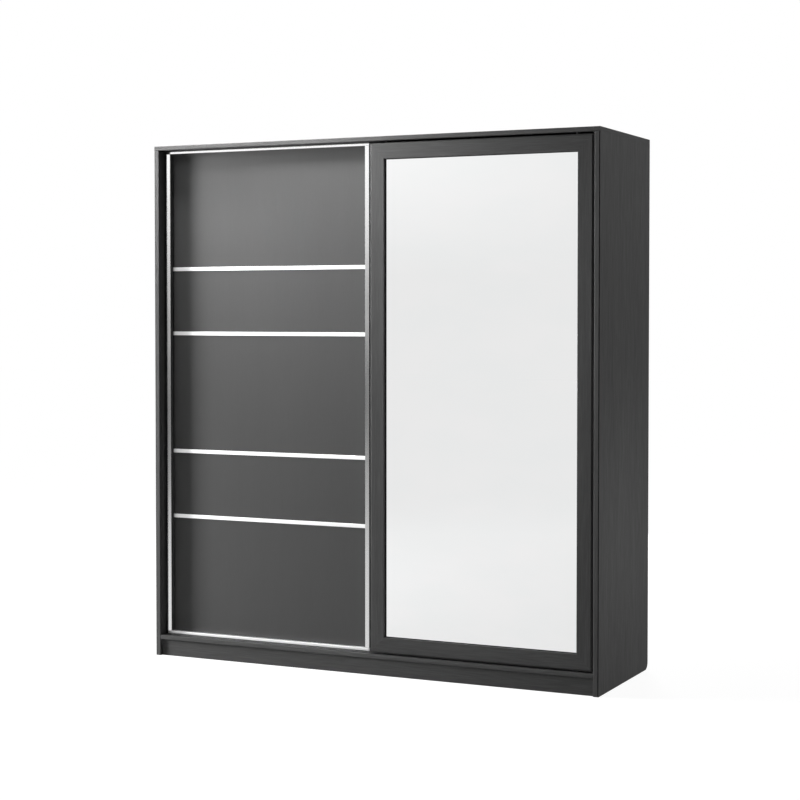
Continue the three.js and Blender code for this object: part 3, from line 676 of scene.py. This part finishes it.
class CopyTree:
    """A Geometry Nodes tree that puts one turned fitting on every point of a mesh."""

    FITTING = "Fitting"
    TURN = "Turn"
    SIZE = "Size"
    MATERIAL = "Material"

    def __init__(self, name: str) -> None:
        """Builds the tree.

        Args:
            name: the tree's name.
        """
        self.tree = bpy.data.node_groups.new(name, "GeometryNodeTree")
        face = self.tree.interface
        face.new_socket("Geometry", in_out="INPUT", socket_type="NodeSocketGeometry")
        kinds = {
            self.FITTING: "NodeSocketObject",
            self.TURN: "NodeSocketRotation",
            self.SIZE: "NodeSocketFloat",
            self.MATERIAL: "NodeSocketMaterial",
        }
        self.sockets = {
            label: face.new_socket(label, in_out="INPUT", socket_type=kind).identifier
            for label, kind in kinds.items()
        }
        face.new_socket("Geometry", in_out="OUTPUT", socket_type="NodeSocketGeometry")
        start = add_node(self.tree, "NodeGroupInput").outputs
        fitting = add_node(self.tree, "GeometryNodeObjectInfo", {"Object": start[self.FITTING]})
        spots = {
            "Points": start["Geometry"],
            "Instance": fitting.outputs["Geometry"],
            "Rotation": start[self.TURN],
            "Scale": start[self.SIZE],
        }
        copies = add_node(self.tree, "GeometryNodeInstanceOnPoints", spots).outputs["Instances"]
        real = add_node(self.tree, "GeometryNodeRealizeInstances", {"Geometry": copies})
        coat = {"Geometry": real.outputs["Geometry"], "Material": start[self.MATERIAL]}
        painted = add_node(self.tree, "GeometryNodeSetMaterial", coat)
        add_node(self.tree, "NodeGroupOutput", {"Geometry": painted.outputs["Geometry"]})

    def place(
        self,
        name: str,
        fitting: Object,
        places: list[Vector],
        turn: tuple[float, float, float],
        material: Material,
    ) -> Object:
        """Puts copies of a fitting on points and turns them into one plain mesh.

        Args:
            name: the finished piece's name.
            fitting: the object that is copied, in millimetres, with its head up Z.
            places: where the copies go, in metres.
            turn: Euler angles that turn every copy.
            material: the copies' material.

        Returns:
            The finished piece, with no modifier left on it.
        """
        points = bpy.data.meshes.new(name + "_points")
        points.from_pydata(places, [], [])
        host = add_object(points.name, points)
        modifier = host.modifiers.new("copies", "NODES")
        modifier.node_group = self.tree
        modifier[self.sockets[self.FITTING]] = fitting
        modifier[self.sockets[self.TURN]] = turn
        modifier[self.sockets[self.SIZE]] = MM
        modifier[self.sockets[self.MATERIAL]] = material
        bpy.context.view_layer.update()
        evaluated = host.evaluated_get(bpy.context.evaluated_depsgraph_get())
        mesh = bpy.data.meshes.new_from_object(evaluated)
        mesh.name = name
        bpy.data.objects.remove(host)
        return add_object(name, mesh)


@dataclass(frozen=True)
class Fitting:
    """A small turned fitting, with its foot at the origin and its head up Z.

    The rings are in millimetres, as turned() takes them.
    """

    rings: Points
    sides: int
    finish: Finish


SHELF_PIN = Fitting(((0, 0), (2.5, 0), (2.5, 8.6), (2.1, 9), (0, 9)), 12, RAIL_STEEL)
# A real hole is a dark round spot from any distance, dark with the shade inside it. The solid
# boards have none, so each is a thin disc of painted shade that stands a tenth of a millimetre
# proud.
PIN_HOLE_SHADE = Fitting(((0, -0.2), (2.5, -0.2), (2.5, 0.1), (0, 0.1)), 12, BORE_SHADE)
PAN_SCREW = Fitting(
    (
        (0, -0.4),
        (3.4, -0.4),
        (3.5, 0.5),
        (3.1, 1.2),
        (2.3, 1.6),
        (1.9, 1.65, 0.5),
        (1.1, 0.5, 0.5),
        (0, 0.3),
    ),
    16,
    RAIL_STEEL,
)
TRACK_SCREW = Fitting(
    (
        (0, -0.3),
        (1.9, -0.3),
        (1.95, 0.3),
        (1.2, 0.75),
        (0.95, 0.78, 0.5),
        (0.6, 0.2, 0.5),
        (0, 0.1),
    ),
    16,
    RAIL_STEEL,
)
CAM_COVER = Fitting(
    ((0, -0.3), (8.2, -0.3), (8.5, 0.2), (8.1, 0.7), (0, 0.9)), 24, BLACK_PLASTIC
)
AXLE_END = Fitting(
    ((0, -0.3), (2.6, -0.3), (2.7, 0.1), (2.2, 0.3), (1.2, 0.3), (0.9, 0.1), (0, 0.1)),
    16,
    RAIL_STEEL,
)
BACK_NAIL = Fitting(((0, -0.3), (1.9, -0.3), (2, 0.2), (1.6, 0.6), (0, 0.8)), 12, RAIL_STEEL)
PILE_TUFT = Fitting(((0, -0.8), (0.6, -0.8), (0.5, 0.1), (0.2, 0.5), (0, 0.55)), 8, BLACK_PILE)


class Facing(Enum):
    """Euler angles that turn a fitting's head from up Z to another way."""

    UP = (0.0, 0.0, 0.0)
    DOWN = (math.pi, 0.0, 0.0)
    RIGHT = (0.0, math.pi / 2, 0.0)
    LEFT = (0.0, -math.pi / 2, 0.0)
    FRONT = (math.pi / 2, 0.0, 0.0)
    BACK = (-math.pi / 2, 0.0, 0.0)


class Fittings:
    """Puts trim and small fittings on their bodies. One tree repeats the fittings."""

    def __init__(self, palette: Palette) -> None:
        """Makes the tree.

        Args:
            palette: where the materials come from.
        """
        self.palette = palette
        self.tree = CopyTree("fittings_on_points")

    def put(
        self, name: str, fitting: Fitting, places: list[Vector], facing: Facing, body: str
    ) -> None:
        """Repeats a fitting and lets it ride on a body.

        Args:
            name: the piece's name.
            fitting: what is repeated.
            places: where its copies go.
            facing: the way the copies' heads face.
            body: the body it rides on.
        """
        pattern = mesh_object(name + "_pattern", turned(fitting.rings, fitting.sides))
        material = self.palette.material(fitting.finish)
        piece = self.tree.place(name, pattern, places, facing.value, material)
        bpy.data.objects.remove(pattern)
        self.fix(piece, body)

    def trim(self, piece: Object, finish: Finish, body: str) -> None:
        """Finishes a piece of trim and lets it ride on a body.

        Args:
            piece: the piece.
            finish: its finish.
            body: the body it rides on.
        """
        piece.data.materials.append(self.palette.material(finish))
        self.fix(piece, body)

    def fix(self, piece: Object, body: str) -> None:
        """Lets a finished piece ride on a body.

        Args:
            piece: the piece.
            body: the body it rides on.
        """
        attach(piece, body)
        LOG.info("%s rides on %s: %d faces", piece.name, body, len(piece.data.polygons))


def spaced(low: float, high: float, pitch: float) -> list[float]:
    """Spaces places evenly from one end to the other, both included.

    Args:
        low: the first place.
        high: the last place.
        pitch: about how far apart they are.

    Returns:
        The places.
    """
    steps = max(1, round((high - low) / pitch))
    return [low + (high - low) * step / steps for step in range(steps + 1)]


@dataclass
class Carcass:
    """The boards, back, shelves, hanging rail and channels that stand still."""

    palette: Palette
    fittings: Fittings
    pin_inset: float = 45 * MM
    pin_drop: float = 2.7 * MM
    hole_pitch: float = 32 * MM
    hole_start: float = 200 * MM
    hole_stop: float = 2060 * MM
    hole_gap: float = 17 * MM
    cam_inset: float = 60 * MM
    cam_pitch: float = 190 * MM
    cam_rise: float = 34 * MM
    screw_end: float = 60 * MM
    screw_pitch: float = 310 * MM
    track_floor: float = 1.5 * MM
    nail_inset: float = 7 * MM
    nail_pitch: float = 150 * MM
    nail_joint_gap: float = 42 * MM
    socket_flange: float = 3 * MM
    socket_screw_reach: float = 22.8 * MM
    arris: float = 3 * MM
    lipping_bulge: float = 0.25 * MM
    lipping_depth: float = 0.4 * MM
    lipping_steps: int = 10
    lipping_end: float = 0.5 * MM

    def dress(self) -> None:
        """Gives every board its grain, and the fittings their metal and plastic."""
        dress = self.palette.dress
        dress(UPRIGHT_BOARD, "side_panel_left", "side_panel_right")
        dress(INTERIOR_UPRIGHT_BOARD, "centre_partition")
        dress(LEVEL_BOARD, "top_panel", "bottom_panel", "plinth_front", "plinth_rear")
        dress(DEPTH_BOARD, "plinth_bearer")
        dress(INTERIOR_LEVEL_BOARD, *self.shelf_names())
        dress(BACK_BOARD, "back_panel_left", "back_panel_right")
        dress(BLACK_PLASTIC, "back_joint_profile", "rail_socket_left", "rail_socket_right")
        dress(RAIL_STEEL, "hanging_rail")
        for level in ("bottom", "top"):
            dress(DARK_LEVEL_ALUMINIUM, f"{level}_channel_front", f"{level}_channel_rear")

    def build(self) -> None:
        """Adds the lippings, partly painted shade, the pins, discs of painted shade for the holes,
        the cam covers, screws and nails.
        """
        self.build_shade_lippings()
        self.build_pins()
        self.build_hole_shades()
        self.build_cam_covers()
        self.build_track_screws()
        self.build_socket_screws()
        self.build_nails()

    def build_shade_lippings(self) -> None:
        """Rounds each side's outer front arris with a thin black lipping, partly painted shade."""
        quarter = math.pi / 2
        turns = [quarter * step / self.lipping_steps for step in range(self.lipping_steps + 1)]
        inside = self.arris - self.lipping_depth
        for side, way in (("left", -1), ("right", 1)):
            low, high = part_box(f"side_panel_{side}")
            x = (high.x if way > 0 else low.x) - way * self.arris
            y = low.y + self.arris
            reaches = [self.arris + self.lipping_bulge * math.sin(2 * turn) ** 2 for turn in turns]
            outer = list(zip(turns, reaches))
            inner = [(turn, inside) for turn in reversed(turns)]
            section = [
                (x + way * reach * math.sin(turn), y - reach * math.cos(turn))
                for turn, reach in outer + inner
            ]
            name = f"side_panel_lipping_{side}"
            piece = upright_bar(name, section, low.z + self.lipping_end, high.z)
            self.fittings.trim(piece, BLACK_SHADE_LIPPING, "carcass")

    def shelf_names(self) -> list[str]:
        """Names the four shelves on the left and the one on the right."""
        return [f"shelf_left_{i}" for i in (1, 2, 3, 4)] + ["shelf_right_top"]

    def build_pins(self) -> None:
        """Puts four steel pins under each shelf."""
        for end, facing in (("left", Facing.RIGHT), ("right", Facing.LEFT)):
            places = []
            for name in self.shelf_names():
                low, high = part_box(name)
                x = low.x if end == "left" else high.x
                for depth in (low.y + self.pin_inset, high.y - self.pin_inset):
                    places.append(Vector((x, depth, low.z - self.pin_drop)))
            self.fittings.put(f"shelf_pins_{end}_ends", SHELF_PIN, places, facing, "carcass")

    def build_hole_shades(self) -> None:
        """Puts two rows of pin holes, discs of painted shade, on each face that carries a shelf.
        """
        shelves = [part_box(name) for name in self.shelf_names()]
        shelf_low, shelf_high = shelves[0]
        depths = (shelf_low.y + self.pin_inset, shelf_high.y - self.pin_inset)
        for name, face, facing in self.upright_faces():
            taken = [
                (low.z + high.z) / 2 - self.pin_drop
                for low, high in shelves
                if low.x - self.hole_gap < face < high.x + self.hole_gap
                and (facing is Facing.RIGHT) == (face < (low.x + high.x) / 2)
            ]
            heights = [
                height
                for height in spaced(self.hole_start, self.hole_stop, self.hole_pitch)
                if all(abs(height - shelf) > self.hole_gap for shelf in taken)
            ]
            places = [Vector((face, depth, height)) for depth in depths for height in heights]
            self.fittings.put(f"pin_holes_{name}", PIN_HOLE_SHADE, places, facing, "carcass")

    def upright_faces(self) -> list[tuple[str, float, Facing]]:
        """Lists the upright faces that carry shelves.

        Returns:
            Each face's name, its place along X and the way it faces.
        """
        middle_low, middle_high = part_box("centre_partition")
        return [
            ("side_left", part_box("side_panel_left")[1].x, Facing.RIGHT),
            ("partition_left", middle_low.x, Facing.LEFT),
            ("partition_right", middle_high.x, Facing.RIGHT),
            ("side_right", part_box("side_panel_right")[0].x, Facing.LEFT),
        ]

    def build_cam_covers(self) -> None:
        """Covers the cams that pull each upright to the top and bottom boards."""
        low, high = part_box("centre_partition")
        depths = spaced(low.y + self.cam_inset, high.y - self.cam_inset, self.cam_pitch)
        heights = (low.z + self.cam_rise, high.z - self.cam_rise)
        for name, face, facing in self.upright_faces():
            places = [Vector((face, depth, height)) for depth in depths for height in heights]
            self.fittings.put(f"cam_covers_{name}", CAM_COVER, places, facing, "carcass")

    def build_track_screws(self) -> None:
        """Screws the bottom channels down and the top channels up."""
        for level, facing in (("bottom", Facing.UP), ("top", Facing.DOWN)):
            places = []
            for side in ("front", "rear"):
                low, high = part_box(f"{level}_channel_{side}")
                inside = (low.z + self.track_floor, high.z - self.track_floor)
                height = inside[0] if facing is Facing.UP else inside[1]
                for x in spaced(low.x + self.screw_end, high.x - self.screw_end, self.screw_pitch):
                    places.append(Vector((x, (low.y + high.y) / 2, height)))
            self.fittings.put(f"{level}_channel_screws", TRACK_SCREW, places, facing, "carcass")

    def build_socket_screws(self) -> None:
        """Puts two screws on each socket of the hanging rail."""
        for side, facing in (("left", Facing.RIGHT), ("right", Facing.LEFT)):
            low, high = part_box(f"rail_socket_{side}")
            x = low.x + self.socket_flange if side == "left" else high.x - self.socket_flange
            middle = (low + high) / 2
            places = [
                Vector((x, middle.y, middle.z + way * self.socket_screw_reach)) for way in (-1, 1)
            ]
            self.fittings.put(f"rail_socket_screws_{side}", PAN_SCREW, places, facing, "carcass")

    def build_nails(self) -> None:
        """Nails the two back sheets round their outer edges."""
        places = []
        inset = self.nail_inset
        for side, outer in (("left", -1), ("right", 1)):
            low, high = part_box(f"back_panel_{side}")
            edge = (high.x if outer > 0 else low.x) - outer * inset
            other = (low.x if outer > 0 else high.x) + outer * self.nail_joint_gap
            for z in spaced(low.z + inset, high.z - inset, self.nail_pitch):
                places.append(Vector((edge, high.y, z)))
            for x in spaced(min(edge, other), max(edge, other), self.nail_pitch)[1:-1]:
                places += [Vector((x, high.y, z)) for z in (low.z + inset, high.z - inset)]
        self.fittings.put("back_sheet_nails", BACK_NAIL, places, Facing.BACK, "carcass")


@dataclass
class PanelDoor:
    """The deeper left door: aluminium frame, strips and satin panels."""

    palette: Palette
    fittings: Fittings
    gasket: Points = (
        (0, 0.6), (0.9, 1.2), (1.1, 9.5), (2.9, 11.2), (3.5, 13), (3.4, 15.7), (0, 15.8)
    )
    cap_inset: float = 0.4 * MM
    cap_rise: float = 3.4 * MM
    cap_tilt: tuple[float, float] = (math.radians(5), math.radians(17))
    cap_steps: int = 12
    cap_sink: float = 0.3 * MM
    screw_inset: float = 10 * MM
    screw_depth: float = 9 * MM
    tuft_pitch: float = 2.2 * MM
    tuft_rows: tuple[float, ...] = (-1.5 * MM, -0.5 * MM, 0.5 * MM, 1.5 * MM)

    def dress(self) -> None:
        """Gives the frame its metal and the panels their faced board."""
        dress = self.palette.dress
        dress(UPRIGHT_ALUMINIUM, "left_door_stile_left", "left_door_stile_right")
        strips = [f"left_door_strip_{i}" for i in (1, 2, 3, 4)]
        dress(LEVEL_ALUMINIUM, "left_door_rail_bottom", *strips)
        dress(TOP_RAIL_ALUMINIUM, "left_door_rail_top")
        dress(DOOR_PANEL, *[f"left_door_panel_{i}" for i in (1, 2, 3, 4, 5)])
        dress(DARK_UPRIGHT_ALUMINIUM, "left_door_interlock")
        dress(BLACK_PILE, "left_door_brush")

    def build(self) -> None:
        """Adds the stiles' caps, the gaskets, the corner screws and the brush's tufts."""
        self.build_caps()
        self.build_gaskets()
        self.build_corner_screws()
        self.build_tufts()

    def build_caps(self) -> None:
        """Clips an aluminium cap over each stile, highest at its left with a long fall."""
        least, most = self.cap_tilt
        for side in ("left", "right"):
            low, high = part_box(f"left_door_stile_{side}")
            start, end = low.x + self.cap_inset, high.x - self.cap_inset
            width = (end - start) / self.cap_steps
            section = [(start, low.y - self.cap_rise)]
            for step in range(self.cap_steps):
                tilt = least + (most - least) * (step + 0.5) / self.cap_steps
                x, y = section[-1]
                section.append((x + width, y + width * math.tan(tilt)))
            section += [(end, low.y + self.cap_sink), (start, low.y + self.cap_sink)]
            piece = upright_bar(f"left_door_stile_cap_{side}", section, low.z, high.z)
            self.fittings.trim(piece, UPRIGHT_ALUMINIUM, "left_door")

    def build_gaskets(self) -> None:
        """Lays a grey glazing gasket along the inner flank of each stile."""
        for side, way in (("left", 1), ("right", -1)):
            low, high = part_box(f"left_door_stile_{side}")
            flank = high.x if way > 0 else low.x
            section = [(flank + way * x * MM, low.y + y * MM) for x, y in self.gasket]
            piece = upright_bar(f"left_door_gasket_{side}", section, low.z, high.z)
            self.fittings.trim(piece, GREY_RUBBER, "left_door")

    def build_corner_screws(self) -> None:
        """Puts the two screws of the free stile into the rails."""
        low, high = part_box("left_door_stile_left")
        heights = (low.z + self.screw_inset, high.z - self.screw_inset)
        places = [Vector((low.x, low.y + self.screw_depth, height)) for height in heights]
        self.fittings.put("left_door_corner_screws", PAN_SCREW, places, Facing.LEFT, "left_door")

    def build_tufts(self) -> None:
        """Sets rows of short tufts on the front of the brush's pile."""
        low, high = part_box("left_door_brush")
        rows = [(low.x + high.x) / 2 + row for row in self.tuft_rows]
        heights = spaced(low.z + self.tuft_pitch, high.z - self.tuft_pitch, self.tuft_pitch)
        places = [Vector((row, low.y, height)) for row in rows for height in heights]
        self.fittings.put("left_door_brush_tufts", PILE_TUFT, places, Facing.FRONT, "left_door")


@dataclass
class MirrorDoor:
    """The right door: a broad bevelled frame round a mirror."""

    palette: Palette
    fittings: Fittings
    buffer: Points = (
        (0, 5.5), (-0.4, 5.4), (-0.4, 3.6), (3.8, 1.2), (4.2, 1.4), (4.1, 1.7), (0, 4)
    )
    buffer_inset: float = 4.5 * MM
    seal: Points = ((0, 0), (3, 0), (3, -1), (1.8, -2), (0, -2))
    screw_inset: float = 12 * MM
    screw_pitch: float = 290 * MM

    def dress(self) -> None:
        """Gives the frame its board, the mirror its glass and the back its fibre board."""
        dress = self.palette.dress
        dress(UPRIGHT_BOARD, "right_door_stile_left", "right_door_stile_right")
        dress(LEVEL_BOARD, "right_door_rail_bottom", "right_door_rail_top")
        dress(MIRROR, "right_door_mirror")
        dress(BACK_BOARD, "right_door_backing_board")

    def build(self) -> None:
        """Adds the edge buffer and the mirror's seal, partly painted shade, and the backing
        screws.
        """
        self.build_shade_buffer()
        self.build_shade_seal()
        self.build_backing_screws()

    def build_shade_buffer(self) -> None:
        """Lays a thin black buffer over the outer part of the left bevel, partly painted shade: a
        dark line for the shade in the gap between the doors.
        """
        low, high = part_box("right_door_stile_left")
        section = [(low.x + x * MM, low.y + y * MM) for x, y in self.buffer]
        foot, head = low.z + self.buffer_inset, high.z - self.buffer_inset
        piece = upright_bar("right_door_edge_buffer", section, foot, head)
        self.fittings.trim(piece, BLACK_RUBBER, "right_door")

    def build_shade_seal(self) -> None:
        """Runs a thin black seal round the glass, in the corner between it and the frame, partly
        painted shade: a dark line for the shade in the glass's recess.
        """
        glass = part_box("right_door_mirror")[0].y
        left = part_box("right_door_stile_left")[1].x
        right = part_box("right_door_stile_right")[0].x
        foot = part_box("right_door_rail_bottom")[1].z
        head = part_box("right_door_rail_top")[0].z
        low, high = Vector((left, glass, foot)), Vector((right, glass, head))
        section = [(inset * MM, depth * MM) for inset, depth in self.seal]
        piece = mitred_frame("right_door_mirror_seal", low, high, section)
        self.fittings.trim(piece, BLACK_RUBBER, "right_door")

    def build_backing_screws(self) -> None:
        """Screws the backing board on along its two long edges."""
        low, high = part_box("right_door_backing_board")
        inset = self.screw_inset
        edges = (low.x + inset, high.x - inset)
        heights = spaced(low.z + inset, high.z - inset, self.screw_pitch)
        places = [Vector((edge, high.y, height)) for edge in edges for height in heights]
        self.fittings.put("backing_board_screws", PAN_SCREW, places, Facing.BACK, "right_door")


@dataclass
class RunningGear:
    """The rollers, carriages and guides of both doors."""

    palette: Palette
    fittings: Fittings

    def dress(self) -> None:
        """Gives the rollers nylon and their carriers black plastic."""
        for door in ("left_door", "right_door"):
            for kind, finish in (
                ("roller", BLACK_NYLON),
                ("guide_roller", BLACK_NYLON),
                ("carriage", BLACK_PLASTIC),
                ("guide_bracket", BLACK_PLASTIC),
            ):
                self.palette.dress(finish, f"{door}_{kind}_1", f"{door}_{kind}_2")

    def build(self) -> None:
        """Puts the end of each roller's axle on the front of its carriage."""
        for door in ("left_door", "right_door"):
            places = []
            for gear in (1, 2):
                low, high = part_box(f"{door}_roller_{gear}")
                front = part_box(f"{door}_carriage_{gear}")[0].y
                places.append(Vector(((low.x + high.x) / 2, front, (low.z + high.z) / 2)))
            self.fittings.put(f"{door}_axle_ends", AXLE_END, places, Facing.FRONT, door)


@dataclass(frozen=True)
class Lamp:
    """A square soft box that faces a point, with a honeycomb grid where its spread is narrow.

    Its power is in watts, and its spread in degrees.
    """

    name: str
    place: tuple[float, float, float]
    target: tuple[float, float, float]
    side: float
    power: float
    spread: float = 180.0

    def build(self) -> None:
        """Adds the lamp to the scene."""
        data = bpy.data.lights.new(self.name, "AREA")
        data.shape = "SQUARE"
        data.size = self.side
        data.energy = self.power
        data.spread = math.radians(self.spread)
        lamp = add_object(self.name, data)
        way = Vector(self.target) - Vector(self.place)
        lamp.rotation_euler = way.to_track_quat("-Z", "Y").to_euler()
        lamp.location = self.place


@dataclass(frozen=True)
class Fade:
    """A brightness that changes steadily between two ends, and stays level beyond them.

    The ends are metres from the origin on the floor, and shares of a unit direction in the world.
    """

    start: float
    end: float
    first: float
    last: float

    def inputs(self, value: Socket) -> dict[str, Any]:
        """Gives the inputs of the node that maps a value to the brightness.

        Args:
            value: the value.

        Returns:
            The inputs, as add_node() takes them.
        """
        ends = {"Value": value, "From Min": self.start, "From Max": self.end}
        return {**ends, "To Min": self.first, "To Max": self.last}


@dataclass
class Studio:
    """The floor, the lamps, the pale surroundings and the photograph's camera.

    The lens and the sensor are in millimetres, and the camera's angles in degrees. A strength of 1
    is white. In satin metal the floor and the wall have a dusky stripe at the horizon.
    """

    lens: float = 81.32
    sensor: float = 36.0
    camera_place: tuple[float, float, float] = (3.2647, -6.8451, 1.4764)
    camera_tilt: float = 88.2925
    camera_turn: float = 25.572
    shift_x: float = 0.00656
    shift_y: float = -0.0432
    sight: float = 200.0
    floor_half: float = 30.0
    floor_drop: float = 0.2 * MM
    floor_lit: str = "#e4e4e4"
    floor_shaded: str = "#808080"
    floor_to_camera: Fade = Fade(1.5, 6.0, 0.95, 1.0)
    floor_in_mirror: Fade = Fade(1.0, 5.0, 0.74, 0.86)
    floor_in_satin: Fade = Fade(5.0, 10.0, 0.55, 0.16)
    world_white: float = 1.0
    wall_foot: float = 0.86
    wall_across: Fade = Fade(-0.45, -0.3, 1.0, 0.87)
    wall_rise: Fade = Fade(0.02, 0.08, 0.0, 1.0)
    wall_in_satin: Fade = Fade(0.01, 0.06, 0.16, 1.2)
    lamps: tuple[Lamp, ...] = (
        Lamp("left_wash", (-4.5, -1.75, 1.0), (-0.5, -0.3, 1.0), 1.0, 291.0),
        Lamp("left_box", (-3.6, -1.2, 2.2), (-0.4, -0.3, 1.4), 1.2, 48.0),
        Lamp("top_left_box", (-1.5, -1.1, 2.9), (-0.8, -0.3, 1.7), 0.6, 9.4),
        Lamp("top_grid_left", (-3.4, -1.35, 2.6), (-0.4, -0.3, 2.05), 0.5, 5.6, 35.0),
        Lamp("top_grid_high", (-2.4, -1.0, 3.3), (-0.5, -0.3, 2.05), 0.4, 4.7, 40.0),
        Lamp("top_grid_near", (-1.1, -0.68, 3.6), (-0.75, -0.31, 2.17), 0.3, 2.4, 30.0),
        Lamp("top_grid_middle", (-0.6, -1.0, 3.0), (-0.1, -0.3, 2.15), 0.3, 3.2, 60.0),
        Lamp("right_side_box", (4.5, 0.6, 1.2), (1.0, 0.0, 1.1), 1.6, 3.5, 60.0),
        Lamp("right_side_grid", (3.4, 0.3, 0.8), (1.0, 0.0, 0.7), 0.6, 0.5, 30.0),
        Lamp("rear_box", (-0.9, 4.6, 1.2), (-0.3, 0.3, 1.0), 1.4, 190.0),
    )

    def build(self) -> None:
        """Adds everything round the object."""
        bpy.context.scene.view_settings.view_transform = "Standard"
        self.build_camera()
        self.build_floor()
        self.build_world()
        for lamp in self.lamps:
            lamp.build()

    def build_camera(self) -> None:
        """Adds the camera where the photograph was taken from."""
        data = bpy.data.cameras.new("camera")
        data.lens = self.lens
        data.sensor_width = self.sensor
        data.shift_x = self.shift_x
        data.shift_y = self.shift_y
        data.clip_end = self.sight
        camera = add_object("camera", data)
        camera.location = self.camera_place
        tilt, turn = math.radians(self.camera_tilt), math.radians(self.camera_turn)
        camera.rotation_euler = (tilt, 0.0, turn)
        bpy.context.scene.camera = camera

    def by_ray(
        self, tree: Tree, camera: Socket | float, mirror: Socket, satin: Socket
    ) -> tuple[Socket, Socket]:
        """Picks a brightness by the kind of ray that shows the floor or the wall.

        Args:
            tree: the floor's or the world's tree.
            camera: what the camera sees.
            mirror: what a sharp mirror sees.
            satin: what satin metal sees.

        Returns:
            1 on rays that show a surface, straight or in a reflection, and 0 on rays that light;
            and the brightness.
        """
        rays = add_node(tree, "ShaderNodeLightPath").outputs
        shown = rays["Is Camera Ray"]
        for kind in ("Is Glossy Ray", "Is Transmission Ray"):
            either = {0: shown, 1: rays[kind]}
            shown = add_node(tree, "ShaderNodeMath", either, operation="MAXIMUM").outputs[0]
        glossy = {0: rays["Is Singular Ray"], 2: satin, 3: mirror}
        reflected = add_node(tree, "ShaderNodeMix", glossy, data_type="FLOAT").outputs[0]
        every = {0: rays["Is Camera Ray"], 2: reflected, 3: camera}
        return shown, add_node(tree, "ShaderNodeMix", every, data_type="FLOAT").outputs[0]

    def build_floor(self) -> None:
        """Adds a plain white floor that keeps the object's shadow."""
        half = self.floor_half
        corners = ((-half, -half), (half, -half), (half, half), (-half, half))
        body = bmesh.new()
        body.faces.new([body.verts.new((x, y, -self.floor_drop)) for x, y in corners])
        floor = mesh_object("floor", body)
        material = bpy.data.materials.new("white_floor")
        material.use_nodes = True
        tree = material.node_tree
        tree.nodes.clear()
        place = add_node(tree, "ShaderNodeTexCoord").outputs["Object"]
        far = add_node(tree, "ShaderNodeVectorMath", {0: place}, operation="LENGTH")
        seen = [
            add_node(tree, "ShaderNodeMapRange", fade.inputs(far.outputs["Value"])).outputs[0]
            for fade in (self.floor_to_camera, self.floor_in_mirror, self.floor_in_satin)
        ]
        shown, strength = self.by_ray(tree, *seen)
        lit = add_node(tree, "ShaderNodeBsdfDiffuse", {"Color": to_linear(self.floor_lit)})
        shade = add_node(tree, "ShaderNodeBsdfDiffuse", {"Color": to_linear(self.floor_shaded)})
        glow = {"Color": to_linear("#ffffff"), "Strength": strength}
        white = add_node(tree, "ShaderNodeEmission", glow)
        pale = add_node(tree, "ShaderNodeAddShader", {0: shade.outputs[0], 1: white.outputs[0]})
        halves = {0: shown, 1: lit.outputs[0], 2: pale.outputs[0]}
        mixed = add_node(tree, "ShaderNodeMixShader", halves)
        add_node(tree, "ShaderNodeOutputMaterial", {"Surface": mixed.outputs[0]})
        floor.data.materials.append(material)

    def build_world(self) -> None:
        """Adds pale surroundings: white to the camera, and a soft wall of light in reflections."""
        world = bpy.data.worlds.new("studio")
        bpy.context.scene.world = world
        world.use_nodes = True
        tree = world.node_tree
        tree.nodes.clear()
        way = add_node(tree, "ShaderNodeTexCoord").outputs["Generated"]
        parts = add_node(tree, "ShaderNodeSeparateXYZ", {0: way}).outputs
        upper, rise, satin = [
            add_node(tree, "ShaderNodeMapRange", fade.inputs(parts[axis])).outputs[0]
            for fade, axis in (
                (self.wall_across, "X"),
                (self.wall_rise, "Z"),
                (self.wall_in_satin, "Z"),
            )
        ]
        wall = {0: rise, 2: self.wall_foot, 3: upper}
        mirror = add_node(tree, "ShaderNodeMix", wall, data_type="FLOAT").outputs[0]
        shown, strength = self.by_ray(tree, self.world_white, mirror, satin)
        glow = {"Color": to_linear("#ffffff"), "Strength": strength}
        white = add_node(tree, "ShaderNodeBackground", glow)
        # The mix's first shader stays empty: the lamps light the object, and the world doesn't.
        mixed = add_node(tree, "ShaderNodeMixShader", {0: shown, 2: white.outputs[0]})
        add_node(tree, "ShaderNodeOutputWorld", {"Surface": mixed.outputs[0]})


def main() -> None:
    """Builds the studio and every sub-assembly in order."""
    palette = Palette()
    fittings = Fittings(palette)
    Studio().build()
    for part in (
        Carcass(palette, fittings),
        PanelDoor(palette, fittings),
        MirrorDoor(palette, fittings),
        RunningGear(palette, fittings),
    ):
        part.dress()
        part.build()
        LOG.info("%s is ready", type(part).__name__)


if __name__ == "__main__":
    main()
